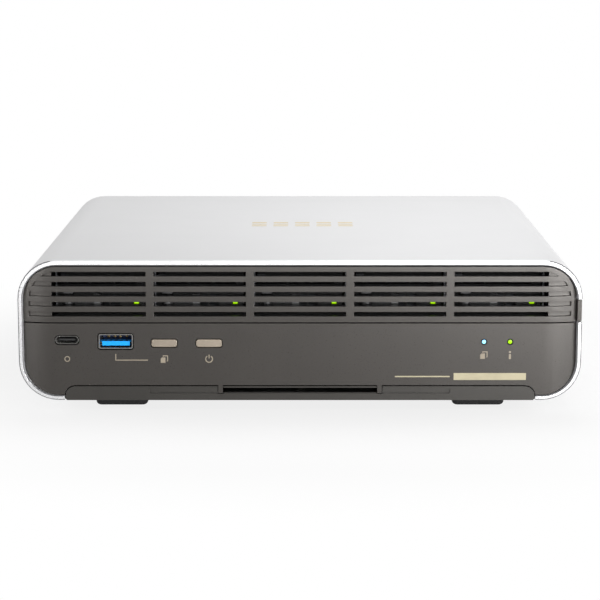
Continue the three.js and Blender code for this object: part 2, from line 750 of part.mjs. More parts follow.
function bezelOutline(inset) {
  const above = seamLevel - SEAM_GAP / 2 - inset;
  const overSeam = block([-halfWidth, halfWidth], frontSpan, [above, CASE_HEIGHT + OVERRUN]);
  const strip = prismAlongY(stripOutline(SEAM_GAP + inset), frontSpan, SMALL_STEPS);
  return cut(mouth(PANEL_GAP + inset, frontSpan), overSeam, strip);
}

function makeBezel() {
  const faceSpan = [frontY - OVERRUN, panelInside + OVERRUN];
  const usbA = prismAlongY(
    roundedRectangle(
      around(usbAX, USB_A_WIDTH + 2 * USB_A_GAP),
      around(usbALevel, USB_A_HEIGHT + 2 * USB_A_GAP),
      USB_A_CORNER + USB_A_GAP,
    ),
    faceSpan,
    SMALL_STEPS,
  );
  const usbC = prismAlongY(
    roundedRectangle(
      around(usbCX, USB_C_WIDTH + 2 * OPENING_GAP),
      around(usbCLevel, USB_C_HEIGHT + 2 * OPENING_GAP),
      USB_C_HEIGHT / 2,
    ),
    faceSpan,
    SMALL_STEPS,
  );
  const buttons = [copyButtonX, powerButtonX].map((x) =>
    prismAlongY(buttonOutline(x, OPENING_GAP), faceSpan, SMALL_STEPS),
  );
  const lights = [copyLightX, statusLightX].map((x) =>
    rodAlongY(x, lightLevel, LIGHT_RADIUS + OPENING_GAP, faceSpan, FINE_STEPS),
  );
  const legs = [-1, 1].map((side) =>
    block(
      legSpan(side, 0),
      [frontY, frontY + LEG_DEPTH],
      [stripSlotLevel - STRIP_RECESS_HEIGHT / 2, stripTop + SEAM_GAP + PANEL_RIM / 2],
    ),
  );
  return join(cut(panelTray(bezelOutline), usbA, usbC, ...buttons, ...lights), ...legs);
}

function coverOutline(inset) {
  const below = seamLevel + SEAM_GAP / 2 + inset;
  const underSeam = block([-halfWidth, halfWidth], frontSpan, [-OVERRUN, below]);
  return cut(mouth(PANEL_GAP + inset, frontSpan), underSeam);
}

function rowSpan(row) {
  const top = CASE_HEIGHT - SLOT_DROP - row * SLOT_PITCH;
  return [top - SLOT_HEIGHT, top];
}

function columnSpan(column) {
  const span = around(bayCentres[column], bayPitch - GRILLE_RIB);
  if (column === 0) span[0] = -grilleHalf;
  if (column === BAYS - 1) span[1] = grilleHalf;
  return span;
}

function grilleSlots() {
  const slots = [];
  for (let row = 0; row < SLOT_ROWS; row += 1)
    for (let column = 0; column < BAYS; column += 1)
      slots.push(block(columnSpan(column), frontSpan, rowSpan(row)));
  return join(...slots);
}

// Beyond the open slots each row runs on as a blind groove that ends along the panel's outline
function endGrooves() {
  const rows = [];
  for (let row = 0; row < SLOT_ROWS; row += 1)
    for (const side of [-1, 1]) {
      const inner = grilleHalf - WELD;
      const span = side > 0 ? [inner, halfWidth] : [-halfWidth, -inner];
      rows.push(block(span, frontSpan, rowSpan(row)));
    }
  const within = mouth(PANEL_GAP + GROOVE_MARGIN, frontSpan);
  const deeper = behindFront(GROOVE_DEPTH, PANEL_DEPTH + 2 * OVERRUN);
  return cut(join(...rows).intersect(within), deeper);
}

// Small hooks behind the cover that reach in over the front edge of the cage's floor
function coverHooks() {
  const bottom = cageFloorLevel - SEAT_GAP - COVER_HOOK_THICKNESS;
  const rimBack = frontY + PANEL_DEPTH;
  const reach = cageFront + COVER_HOOK_LENGTH;
  return COVER_HOOK_SHARES.map((share) =>
    block(
      around(share * bayPitch, COVER_HOOK_WIDTH),
      [rimBack - COVER_HOOK_LENGTH, reach],
      [bottom - (PANEL_RIM - COVER_HOOK_THICKNESS) / 2 + WELD, bottom + COVER_HOOK_THICKNESS],
    ),
  );
}

function makeBayCover() {
  return join(cut(panelTray(coverOutline), grilleSlots(), endGrooves()), ...pullTab(), ...coverHooks());
}

// The cover's pull tab, which fills the shell's notch, and the root that ties it to the rim
function pullTab() {
  const back = frontY + NOTCH_DEPTH - NOTCH_GAP;
  const levels = [notchBottom + NOTCH_GAP, notchBottom + NOTCH_HEIGHT - NOTCH_GAP];
  return [
    block([innerHalf, halfWidth - SEAT_GAP / 2], [frontY + SHELL_EDGE, back], levels),
    block(
      [innerHalf - PANEL_GAP - PANEL_RIM, innerHalf + WELD],
      [frontY + PULL_ROOT_SET_BACK, back],
      levels,
    ),
  ];
}

function buttonOutline(x, grow) {
  return roundedRectangle(
    around(x, BUTTON_WIDTH + 2 * grow),
    around(buttonLevel, BUTTON_HEIGHT + 2 * grow),
    BUTTON_CORNER + grow,
  );
}

const flangeFront = panelInside + SEAT_GAP;
const stemEnd = flangeFront + BUTTON_FLANGE + BUTTON_STEM_LENGTH;
const plungerFront = stemEnd + BUTTON_TRAVEL + SEAT_GAP;

function makeButton(x) {
  const cap = prismAlongY(buttonOutline(x, 0), [frontY, flangeFront + WELD], SMALL_STEPS);
  const flange = prismAlongY(
    buttonOutline(x, 2 * OPENING_GAP),
    [flangeFront, flangeFront + BUTTON_FLANGE],
    SMALL_STEPS,
  );
  const stem = rodAlongY(
    x,
    buttonLevel,
    BUTTON_STEM_RADIUS,
    [flangeFront + BUTTON_FLANGE - WELD, stemEnd],
    FINE_STEPS,
  );
  return join(cap, flange, stem);
}

function makeSwitch(x) {
  const bodyFront = plungerFront + SWITCH_PLUNGER_LENGTH;
  const body = block(
    around(x, SWITCH_SIZE),
    [bodyFront, bodyFront + SWITCH_DEPTH],
    [frontBoardTop + SEAT_GAP, buttonLevel + SWITCH_SIZE / 2],
  );
  const plunger = rodAlongY(
    x,
    buttonLevel,
    SWITCH_PLUNGER_RADIUS,
    [plungerFront, bodyFront + WELD],
    FINE_STEPS,
  );
  return join(body, plunger);
}

// A connector's metal shell: a tube with a closed back
function connectorShell(x, level, size, wall, corner, y) {
  const outer = prismAlongY(
    roundedRectangle(around(x, size[0]), around(level, size[1]), corner),
    y,
    SMALL_STEPS,
  );
  const inner = prismAlongY(
    roundedRectangle(around(x, size[0] - 2 * wall), around(level, size[1] - 2 * wall), corner - wall / 2),
    [y[0] - OVERRUN, y[1] - OVERRUN],
    SMALL_STEPS,
  );
  return cut(outer, inner);
}

const connectorFront = frontY + CONNECTOR_SET_BACK;

function makeFrontUsbA() {
  const y = [connectorFront, connectorFront + USB_A_DEPTH];
  return connectorShell(usbAX, usbALevel, [USB_A_WIDTH, USB_A_HEIGHT], USB_A_WALL, USB_A_CORNER, y);
}

function makeFrontUsbC() {
  const y = [connectorFront, connectorFront + USB_C_DEPTH];
  const corner = USB_C_HEIGHT / 2 - WELD;
  return connectorShell(usbCX, usbCLevel, [USB_C_WIDTH, USB_C_HEIGHT], USB_C_WALL, corner, y);
}

// A connector's insulator: a thin tongue on a block that fills the back of the shell
function connectorTongue(x, level, width, height, drop, inside, y) {
  const tongue = block(around(x, width), y, around(level - drop, height));
  const rootDepth = 2 * OVERRUN;
  const root = block(around(x, inside[0]), [y[1] - rootDepth, y[1]], around(level, inside[1]));
  return join(tongue, root);
}

function makeFrontUsbATongue() {
  const inside = [
    USB_A_WIDTH - 2 * USB_A_WALL - 2 * SEAT_GAP,
    USB_A_HEIGHT - 2 * USB_A_WALL - 2 * SEAT_GAP,
  ];
  const y = [
    connectorFront + USB_A_TONGUE_SET_BACK,
    connectorFront + USB_A_DEPTH - OVERRUN - SEAT_GAP,
  ];
  const width = USB_A_TONGUE_WIDTH;
  return connectorTongue(usbAX, usbALevel, width, USB_A_TONGUE_HEIGHT, USB_A_TONGUE_DROP, inside, y);
}

function makeFrontUsbCTongue() {
  const inside = [
    USB_C_WIDTH - 2 * USB_C_WALL - USB_C_HEIGHT / 2,
    USB_C_HEIGHT - 2 * USB_C_WALL - 2 * SEAT_GAP,
  ];
  const y = [
    connectorFront + USB_C_TONGUE_SET_BACK,
    connectorFront + USB_C_DEPTH - OVERRUN - SEAT_GAP,
  ];
  return connectorTongue(usbCX, usbCLevel, USB_C_TONGUE_WIDTH, USB_C_TONGUE_HEIGHT, 0, inside, y);
}

function makeLightPipe(x) {
  const front = frontY + CONNECTOR_SET_BACK / 2;
  return rodAlongY(x, lightLevel, LIGHT_RADIUS, [front, front + LIGHT_LENGTH], FINE_STEPS);
}

function makeFrontBoard() {
  const start = frontY + FRONT_BOARD_START;
  const board = block(
    [-frontBoardHalf, frontBoardHalf],
    [start, start + FRONT_BOARD_DEPTH],
    [frontBoardLevel, frontBoardTop],
  );
  const pedestalOf = (x, width, bottom, depth) =>
    block(
      around(x, width),
      [start + WELD, connectorFront + depth],
      [frontBoardTop - WELD, bottom - SEAT_GAP],
    );
  const usbA = pedestalOf(usbAX, USB_A_WIDTH, usbALevel - USB_A_HEIGHT / 2, USB_A_DEPTH);
  const usbC = pedestalOf(usbCX, USB_C_WIDTH, usbCLevel - USB_C_HEIGHT / 2, USB_C_DEPTH + OVERRUN);
  const lampFront = frontY + CONNECTOR_SET_BACK / 2 + LIGHT_LENGTH + SEAT_GAP;
  const lamps = [copyLightX, statusLightX].map((x) =>
    block(
      around(x, LAMP_SIZE),
      [lampFront, lampFront + LAMP_SIZE],
      [frontBoardTop - WELD, frontBoardTop + LAMP_HEIGHT],
    ),
  );
  return join(board, usbA, usbC, ...lamps);
}

function cageLegs() {
  const rows = [cageFront + CAGE_LEG_INSET, cageBack - CAGE_LEG_INSET];
  return rows.flatMap((y) =>
    [-1, 1].map((side) => {
      const legX = halfWidth - CAGE_LEG_MARGIN;
      const web = [legX - CAGE_LEG_THICKNESS, legX];
      const foot = [legX - CAGE_LEG_FOOT, legX];
      const turned = (span) => (side > 0 ? span : [-span[1], -span[0]]);
      const bottom = ledgeTop + SEAT_GAP;
      return join(
        block(turned(web), around(y, CAGE_LEG_WIDTH), [bottom, cageFloorLevel + WELD]),
        block(turned(foot), around(y, CAGE_LEG_WIDTH), [bottom, bottom + CAGE_LEG_THICKNESS]),
      );
    }),
  );
}

function makeCage() {
  const bayWidth = bayPitch - SHEET;
  const total = BAYS * bayPitch + SHEET;
  const whole = block(around(0, total), [cageFront, cageBack], [cageFloorLevel, cageTopLevel]);
  const inside = [cageFloorLevel + SHEET, cageTopLevel - SHEET];
  const through = [cageFront - OVERRUN, cageBack + OVERRUN];
  const cutters = [];
  for (const x of bayCentres) {
    cutters.push(block(around(x, bayWidth), through, inside));
    cutters.push(
      block(
        around(x, CAGE_WINDOW_WIDTH),
        [cageFront + CAGE_WINDOW_MARGIN, cageBack - CAGE_WINDOW_MARGIN],
        [cageFloorLevel - OVERRUN, cageTopLevel + OVERRUN],
      ),
    );
  }
  return join(cut(whole, ...cutters), ...cageLegs());
}

function makeBackplane() {
  const y = cageBack + SEAT_GAP;
  const bottom = cageFloorLevel + SHEET;
  const board = block(
    around(0, BAYS * bayPitch),
    [y, y + BOARD_THICKNESS],
    [bottom, bottom + BACKPLANE_HEIGHT],
  );
  const middle = trayFloorTop + SEAT_GAP + BACKPLANE_SOCKET_HEIGHT;
  const sockets = bayCentres.map((x) =>
    block(
      around(x, BACKPLANE_SOCKET_WIDTH),
      [y - BACKPLANE_SOCKET_DEPTH, y + WELD],
      around(middle, BACKPLANE_SOCKET_HEIGHT),
    ),
  );
  return join(board, ...sockets);
}

// Tray in the frame of its bay: X is measured from the bay's middle
const trayHalf = (bayPitch - SHEET) / 2 - TRAY_SIDE_GAP;
const trayBottom = cageFloorLevel + SHEET + SEAT_GAP;
const trayTop = cageTopLevel - SHEET - SEAT_GAP;
const trayFloorTop = trayBottom + TRAY_FLOOR;
const trayFaceBack = trayFront + TRAY_FACE;
const pivotX = -trayHalf + LEVER_PIVOT_MARGIN;
const pivotY = frontY + LEVER_PIVOT_SET_BACK;
const leverLevels = [cageFloorLevel + LEVER_LIFT, cageFloorLevel + LEVER_LIFT + LEVER_HEIGHT];
const bayLightX = trayHalf - BAY_LIGHT_MARGIN;
const bayLightLevel = cageFloorLevel + BAY_LIGHT_LIFT;
const lightHole = [BAY_LIGHT_WIDTH + 2 * SEAT_GAP, BAY_LIGHT_HEIGHT + 2 * SEAT_GAP];

function makeTray() {
  const run = [trayFaceBack - WELD, cageBack - TRAY_END_GAP];
  const face = block([-trayHalf, trayHalf], [trayFront, trayFaceBack], [trayBottom, trayTop]);
  const floor = block([-trayHalf, trayHalf], run, [trayBottom, trayFloorTop]);
  const wallTop = trayBottom + TRAY_WALL_HEIGHT;
  const left = block([-trayHalf, -trayHalf + TRAY_WALL], run, [trayFloorTop - WELD, wallTop]);
  const right = block([trayHalf - TRAY_WALL, trayHalf], run, [trayFloorTop - WELD, wallTop]);
  const through = [trayFront - OVERRUN, trayFaceBack + OVERRUN];
  const light = block(around(bayLightX, lightHole[0]), through, around(bayLightLevel, lightHole[1]));
  const openings = [...trayVents(through), ...fingerHoles(through), ...sideWindows(through), light];
  return join(cut(join(face, floor, left, right), ...openings), ...leverEars(), leverPin());
}

// A window at the face's upper left and a narrow slit at its right, each beside a side wall
function sideWindows(through) {
  const side = trayHalf - TRAY_EDGE;
  const top = trayTop - TRAY_WINDOW_DROP;
  return [
    block([-side, -side + TRAY_WINDOW_WIDTH], through, [cageFloorLevel + TRAY_VENT_LIFT, top]),
    block([side - TRAY_SLIT_WIDTH, side], through, [cageFloorLevel + FINGER_HOLE_LIFT, top]),
  ];
}

function trayVents(through) {
  const low = cageFloorLevel + TRAY_VENT_LIFT;
  const pitch = (2 * (trayHalf - TRAY_VENT_MARGIN)) / TRAY_VENT_COUNT;
  return evenly(TRAY_VENT_COUNT, pitch).map((x) =>
    block(around(x, pitch - TRAY_VENT_WEB), through, [low, low + TRAY_VENT_HEIGHT]),
  );
}

function fingerHoles(through) {
  const low = cageFloorLevel + FINGER_HOLE_LIFT;
  let start = FINGER_HOLE_START;
  return FINGER_HOLE_WIDTHS.map((width) => {
    const hole = block([start, start + width], through, [low, low + FINGER_HOLE_HEIGHT]);
    start += width + FINGER_HOLE_WEB;
    return hole;
  });
}

const earLevels = [
  [leverLevels[0] - SEAT_GAP - LEVER_EAR_THICKNESS, leverLevels[0] - SEAT_GAP],
  [leverLevels[1] + SEAT_GAP, leverLevels[1] + SEAT_GAP + LEVER_EAR_THICKNESS],
];

function leverEars() {
  return earLevels.map((levels) =>
    block(
      around(pivotX, 2 * LEVER_BARREL_RADIUS - 2 * SEAT_GAP),
      [pivotY - LEVER_BARREL_RADIUS + SEAT_GAP, trayFront + WELD],
      levels,
    ),
  );
}

function leverPin() {
  const span = [earLevels[0][1] - WELD, earLevels[1][0] + WELD];
  return rodAlongZ(pivotX, pivotY, LEVER_PIN_RADIUS, span, FINE_STEPS);
}

function makeLever() {
  const barrel = rodAlongZ(pivotX, pivotY, LEVER_BARREL_RADIUS, leverLevels, FINE_STEPS);
  const back = trayFront - SEAT_GAP;
  const front = back - LEVER_THICKNESS;
  const bar = block([pivotX, LEVER_END_X], [front, back], leverLevels);
  const tip = block(
    [LEVER_END_X - LEVER_TIP_LENGTH, LEVER_END_X],
    [front - LEVER_TIP_RAISE, front + WELD],
    leverLevels,
  );
  const bore = rodAlongZ(
    pivotX,
    pivotY,
    LEVER_PIN_RADIUS + SEAT_GAP,
    [leverLevels[0] - OVERRUN, leverLevels[1] + OVERRUN],
    FINE_STEPS,
  );
  return cut(join(barrel, bar, tip), bore);
}

const driveFront = trayFaceBack + DRIVE_FRONT_GAP;
const driveBack = cageBack - BACKPLANE_SOCKET_DEPTH;

function makeBayLight() {
  return block(
    around(bayLightX, BAY_LIGHT_WIDTH),
    [trayFront - SEAT_GAP, driveFront - SEAT_GAP],
    around(bayLightLevel, BAY_LIGHT_HEIGHT),
  );
}

function makeDrive() {
  const half = trayHalf - TRAY_WALL - SEAT_GAP;
  const bottom = trayFloorTop + SEAT_GAP;
  const top = bottom + DRIVE_HEIGHT;
  const body = block([-half, half], [driveFront, driveBack], [bottom, top]);
  const pitch = (2 * half) / (DRIVE_FIN_GROOVES + 1);
  const grooves = evenly(DRIVE_FIN_GROOVES, pitch).map((x) =>
    block(
      around(x, DRIVE_GROOVE_WIDTH),
      [driveFront - OVERRUN, driveBack + OVERRUN],
      [top - DRIVE_GROOVE_DEPTH, top + OVERRUN],
    ),
  );
  return cut(body, ...grooves);
}

function makeMainBoard() {
  const board = block(
    [-mainBoardHalf, mainBoardHalf],
    [mainBoardFront, mainBoardBack],
    [mainBoardLevel, mainBoardTop],
  );
  const chipAt = (x, y, size, height) =>
    block(around(x, size), around(y, size), [mainBoardTop - WELD, mainBoardTop + height]);
  const chipY = mainBoardFront + 2 * CHIP_SIZE;
  const chips = evenly(CHIP_COUNT, CHIP_PITCH).map((x) => chipAt(x, chipY, CHIP_SIZE, CHIP_HEIGHT));
  const coilY = sinkMiddle - SINK_LENGTH / 2 - 2 * COIL_SIZE;
  const coils = evenly(COIL_COUNT, COIL_PITCH).map((x) =>
    chipAt(fansMiddle + x, coilY, COIL_SIZE, COIL_HEIGHT),
  );
  const processor = chipAt(fansMiddle, sinkMiddle, PROCESSOR_SIZE, PROCESSOR_HEIGHT);
  return join(board, ...chips, ...coils, processor, resetSwitch());
}

function makeHeatSink() {
  const bottom = mainBoardTop + PROCESSOR_HEIGHT + SEAT_GAP;
  const width = fansWidth - 2 * SINK_SIDE_MARGIN;
  const x = around(fansMiddle, width);
  const y = around(sinkMiddle, SINK_LENGTH);
  const base = block(x, y, [bottom, bottom + SINK_BASE]);
  const gaps = Math.round((width - SINK_FIN) / SINK_FIN_PITCH);
  const fins = evenly(gaps + 1, (width - SINK_FIN) / gaps).map((offset) =>
    block(
      around(fansMiddle + offset, SINK_FIN),
      y,
      [bottom + SINK_BASE - WELD, innerTop - SINK_HEAD_ROOM],
    ),
  );
  return join(base, ...fins);
}

// Fan in its own frame: its axis is Y through X = Z = 0
function makeFanFrame() {
  const span = around(0, fanSize);
  const outer = prismAlongY(roundedRectangle(span, span, FAN_CORNER), [fanFront, fanBack], SMALL_STEPS);
  const bore = rodAlongY(0, 0, fanBore, [fanFront - OVERRUN, fanBack + OVERRUN]);
  const plate = rodAlongY(0, 0, FAN_HUB_RADIUS, [plateFront, fanBack]);
  const pin = rodAlongY(0, 0, FAN_PIN_RADIUS, [plateFront - FAN_PIN_LENGTH, plateFront + WELD], FINE_STEPS);
  const length = 2 * fanBore + 2 * WELD;
  const across = block(around(0, length), [plateFront, fanBack], around(0, FAN_STRUT_WIDTH));
  const upright = block(around(0, FAN_STRUT_WIDTH), [plateFront, fanBack], around(0, length));
  return join(cut(outer, bore), plate, pin, across, upright);
}

// A blade: a thin slab along X whose pitch falls from root to tip
function makeBlade() {
  const root = FAN_HUB_RADIUS - OVERRUN;
  const length = fanBore - BLADE_TIP_GAP - root;
  const geometry = new THREE.BoxGeometry(length, BLADE_CHORD, BLADE_THICKNESS, BLADE_STEPS, 1, 1);
  geometry.translate(root + length / 2, 0, 0);
  const place = geometry.attributes.position;
  for (let i = 0; i < place.count; i += 1) {
    const share = (place.getX(i) - root) / length;
    const pitch = BLADE_ROOT_PITCH + share * (BLADE_TIP_PITCH - BLADE_ROOT_PITCH);
    const chord = place.getY(i);
    const rise = place.getZ(i);
    place.setY(i, chord * Math.sin(pitch) + rise * Math.cos(pitch));
    place.setZ(i, -chord * Math.cos(pitch) + rise * Math.sin(pitch));
  }
  return geometry;
}

function makeFanRotor() {
  const back = plateFront - FAN_PIN_GAP;
  const y = [back - ROTOR_DEPTH, back];
  const hub = rodAlongY(0, 0, FAN_HUB_RADIUS, y);
  const bore = rodAlongY(
    0,
    0,
    FAN_PIN_RADIUS + FAN_PIN_GAP,
    [y[0] - OVERRUN, y[1] + OVERRUN],
    FINE_STEPS,
  );
  const blades = [];
  for (let i = 0; i < BLADE_COUNT; i += 1) {
    const geometry = makeBlade();
    geometry.rotateY((i / BLADE_COUNT) * Math.PI * 2);
    geometry.translate(0, (y[0] + y[1]) / 2, 0);
    blades.push(solidOf(geometry));
  }
  return cut(join(hub, ...blades), bore);
}

// A rear connector: a box on the board with an opening that faces the back
function rearSocket(x, width, height, depth, bottom, tongues) {
  const level = bottom + height / 2;
  const outer = block(around(x, width), [portBack - depth, portBack], around(level, height));
  const inside = [portBack - depth + 2 * OVERRUN, portBack + OVERRUN];
  const cellHeight = (height - (tongues + 1) * PORT_WALL) / tongues;
  let socket = outer;
  for (let i = 0; i < tongues; i += 1) {
    const low = bottom + PORT_WALL + i * (cellHeight + PORT_WALL);
    const cell = block(around(x, width - 2 * PORT_WALL), inside, [low, low + cellHeight]);
    const tongue = block(
      around(x, width - 4 * PORT_WALL - 2 * PORT_TONGUE),
      [inside[0] - WELD, portBack - 2 * PORT_TONGUE],
      around(low + cellHeight / 2, PORT_TONGUE),
    );
    socket = join(cut(socket, cell), tongue);
  }
  return socket;
}

const rearUsbCBottom = portBottom + REAR_USB_C_LIFT;

function makeRearUsbC() {
  const socket = rearSocket(portXs.usbC, USB_C_WIDTH, USB_C_HEIGHT, USB_C_DEPTH, rearUsbCBottom, 1);
  const stand = block(
    around(portXs.usbC, USB_C_WIDTH),
    [portBack - USB_C_DEPTH, rearInside - SEAT_GAP],
    [portBottom, rearUsbCBottom + WELD],
  );
  return join(socket, stand);
}

function makePowerJack() {
  const level = portBottom + POWER_JACK_HEIGHT / 2;
  const body = block(
    around(portXs.power, POWER_JACK_WIDTH),
    [portBack - POWER_JACK_DEPTH, portBack],
    [portBottom, portBottom + POWER_JACK_HEIGHT],
  );
  const inside = [portBack - POWER_JACK_DEPTH + 2 * OVERRUN, portBack + OVERRUN];
  const bore = rodAlongY(portXs.power, level, POWER_JACK_RADIUS, inside);
  const pinEnd = portBack - OVERRUN;
  const pin = rodAlongY(
    portXs.power,
    level,
    POWER_JACK_PIN_RADIUS,
    [inside[0] - WELD, pinEnd],
    FINE_STEPS,
  );
  return join(cut(body, bore), pin);
}

function makeNetworkPort(x) {
  const body = block(
    around(x, NETWORK_WIDTH),
    [portBack - NETWORK_DEPTH, portBack],
    [portBottom, portBottom + NETWORK_HEIGHT],
  );
  const inside = [portBack - NETWORK_OPENING_DEPTH, portBack + OVERRUN];
  const low = portBottom + 2 * PORT_WALL + NETWORK_KEY_HEIGHT;
  const opening = block(around(x, NETWORK_OPENING_WIDTH), inside, [low, low + NETWORK_OPENING_HEIGHT]);
  const key = block(around(x, NETWORK_KEY_WIDTH), inside, [low - NETWORK_KEY_HEIGHT, low + WELD]);
  return cut(body, opening, key);
}

// Reset: a pin pushed with a clip through a small hole, against a switch on the main board
const resetOutside = rearInside - SEAT_GAP;
const resetInside = resetOutside - RESET_LENGTH;
const resetSwitchBack = resetInside - BUTTON_TRAVEL - SEAT_GAP;

function makeResetButton() {
  const head = rodAlongY(
    resetX,
    resetLevel,
    RESET_RADIUS + RESET_RECESS - SEAT_GAP,
    [resetInside, resetOutside - RESET_RECESS],
    FINE_STEPS,
  );
  const tip = rodAlongY(
    resetX,
    resetLevel,
    RESET_RADIUS,
    [resetOutside - RESET_RECESS - WELD, rearInside + REAR_THICKNESS / 2],
    FINE_STEPS,
  );
  return join(head, tip);
}

function resetSwitch() {
  const size = 2 * resetReach;
  return block(
    around(resetX, size),
    [resetSwitchBack - SWITCH_DEPTH, resetSwitchBack],
    [mainBoardTop - WELD, resetLevel + size / 2],
  );
}

function portCutter(x, width, bottom, height) {
  return block(
    around(x, width + 2 * REAR_PORT_GAP),
    [rearInside - OVERRUN, backY + OVERRUN],
    [bottom - REAR_PORT_GAP, bottom + height + REAR_PORT_GAP],
  );
}

function fanVents(x) {
  const y = [rearInside - OVERRUN, backY + OVERRUN];
  const count = Math.floor((fanSize - FAN_VENT_HEIGHT) / FAN_VENT_PITCH);
  const rows = evenly(count, FAN_VENT_PITCH).map((rise) =>
    block(around(x, fanSize), y, around(fanLevel + rise, FAN_VENT_HEIGHT)),
  );
  return join(...rows).intersect(rodAlongY(x, fanLevel, fanBore - WELD, y));
}

function upperVents() {
  const y = [rearInside - OVERRUN, backY + OVERRUN];
  const levels = [portBottom + REAR_USB_A_HEIGHT + REAR_VENT_LIFT, innerTop - REAR_VENT_DROP];
  const count = Math.floor((fansLeft - portsLeft) / REAR_VENT_PITCH);
  const middle = portsLeft + (count * REAR_VENT_PITCH) / 2;
  return evenly(count, REAR_VENT_PITCH).map((x) =>
    block(around(middle + x, REAR_VENT_WIDTH), y, levels),
  );
}

function makeRearPanel() {
  const y = [rearInside, rearOutside];
  const belowFloor = floorTop + SEAT_GAP;
  const floorCut = block([-baseHalf, baseHalf], [rearInside - OVERRUN, backY], [0, belowFloor]);
  const plate = cut(mouth(PANEL_GAP, y), floorCut);
  const ports = [
    portCutter(portXs.power, POWER_JACK_WIDTH, portBottom, POWER_JACK_HEIGHT),
    portCutter(portXs.usbC, USB_C_WIDTH, rearUsbCBottom, USB_C_HEIGHT),
    portCutter(portXs.usbA, REAR_USB_A_WIDTH, portBottom, REAR_USB_A_HEIGHT),
    portCutter(portXs.video, HDMI_WIDTH, portBottom, HDMI_HEIGHT),
    ...portXs.network.map((x) => portCutter(x, NETWORK_WIDTH, portBottom, NETWORK_HEIGHT)),
  ];
  const lockSlot = block(
    around(halfWidth - LOCK_SLOT_MARGIN, LOCK_SLOT_WIDTH),
    [rearInside - OVERRUN, backY],
    around((FOOT_HEIGHT + CASE_HEIGHT) / 2, LOCK_SLOT_HEIGHT),
  );
  const resetHole = rodAlongY(
    resetX,
    resetLevel,
    RESET_RADIUS + SEAT_GAP,
    [rearInside - OVERRUN, backY],
    FINE_STEPS,
  );
  const screws = [-1, 1].flatMap((side) => screwLevels.map((level) => screwHole(side * screwX, level)));
  const fans = fanXs.map((x) => fanVents(x));
  return cut(plate, ...ports, lockSlot, resetHole, ...screws, ...fans, ...upperVents());
}

// Screw along Y at the origin, with its head outside the rear panel
function makeScrew() {
  const headInside = rearOutside;
  const head = rodAlongY(0, 0, SCREW_HEAD_RADIUS, [headInside, headInside + SCREW_HEAD_HEIGHT]);
  const shank = rodAlongY(
    0,
    0,
    SCREW_SHANK_RADIUS,
    [headInside - SCREW_SHANK_LENGTH, headInside + WELD],
    FINE_STEPS,
  );
  return join(head, shank);
}

function addCasing(enclosure) {
  enclosure.add(piece("outer_shell", makeOuterShell(), "silver"));
  enclosure.add(piece("base_plate", makeBasePlate(), "strip"));
  enclosure.add(piece("front_bezel", makeBezel(), "bronze"));
  enclosure.add(piece("bay_cover", makeBayCover(), "bronze"));
  enclosure.add(piece("rear_panel", makeRearPanel(), "black"));
  footPlaces().forEach(([x, y], i) => {
    const foot = piece(`foot_${i + 1}`, makeFoot(), "rubber");
    foot.position.set(x, y, 0);
    enclosure.add(foot);
  });
  let count = 0;
  for (const side of [-1, 1])
    for (const level of screwLevels) {
      count += 1;
      const screw = piece(`rear_screw_${count}`, makeScrew(), "steel");
      screw.position.set(side * screwX, 0, level);
      enclosure.add(screw);
    }
}

function addFrontControls(enclosure) {
  enclosure.add(piece("power_button", makeButton(powerButtonX), "champagne"));
  enclosure.add(piece("copy_button", makeButton(copyButtonX), "champagne"));
  enclosure.add(piece("power_switch", makeSwitch(powerButtonX), "black"));
  enclosure.add(piece("copy_switch", makeSwitch(copyButtonX), "black"));
  enclosure.add(piece("front_usb_a_shell", makeFrontUsbA(), "steel"));
  enclosure.add(piece("front_usb_a_tongue", makeFrontUsbATongue(), "blue"));
  enclosure.add(piece("front_usb_c_shell", makeFrontUsbC(), "steel"));
  enclosure.add(piece("front_usb_c_tongue", makeFrontUsbCTongue(), "black"));
  enclosure.add(piece("status_light_pipe", makeLightPipe(statusLightX), "green_light"));
  enclosure.add(piece("copy_light_pipe", makeLightPipe(copyLightX), "blue_light"));
  enclosure.add(piece("front_board", makeFrontBoard(), "board"));
}

function addBays(enclosure) {
  enclosure.add(piece("drive_cage", makeCage(), "steel"));
  enclosure.add(piece("backplane_board", makeBackplane(), "board"));
  bayCentres.forEach((x, i) => {
    const bay = new THREE.Group();
    bay.position.x = x;
    bay.add(piece(`drive_tray_${i + 1}`, makeTray(), "black"));
    bay.add(piece(`tray_lever_${i + 1}`, makeLever(), "black"));
    bay.add(piece(`bay_light_pipe_${i + 1}`, makeBayLight(), "green_light"));
    bay.add(piece(`flash_drive_${i + 1}`, makeDrive(), "aluminium"));
    enclosure.add(bay);
  });
}

function addElectronics(enclosure) {
  enclosure.add(piece("main_board", makeMainBoard(), "board"));
  enclosure.add(piece("processor_heat_sink", makeHeatSink(), "aluminium"));
  fanXs.forEach((x, i) => {
    const fan = new THREE.Group();
    fan.position.set(x, 0, fanLevel);
    fan.add(piece(`fan_frame_${i + 1}`, makeFanFrame(), "black"));
    fan.add(piece(`fan_rotor_${i + 1}`, makeFanRotor(), "black"));
    enclosure.add(fan);
  });
  enclosure.add(piece("power_jack", makePowerJack(), "black"));
  enclosure.add(piece("rear_usb_c_port", makeRearUsbC(), "steel"));
  const stacked = [portXs.usbA, REAR_USB_A_WIDTH, REAR_USB_A_HEIGHT, REAR_USB_A_DEPTH];
  enclosure.add(piece("rear_usb_a_port", rearSocket(...stacked, portBottom, 2), "steel"));
  const video = rearSocket(portXs.video, HDMI_WIDTH, HDMI_HEIGHT, HDMI_DEPTH, portBottom, 1);
  enclosure.add(piece("video_port", video, "steel"));
  portXs.network.forEach((x, i) => {
    enclosure.add(piece(`network_port_${i + 1}`, makeNetworkPort(x), "steel"));
  });
  enclosure.add(piece("reset_button", makeResetButton(), "black"));
}

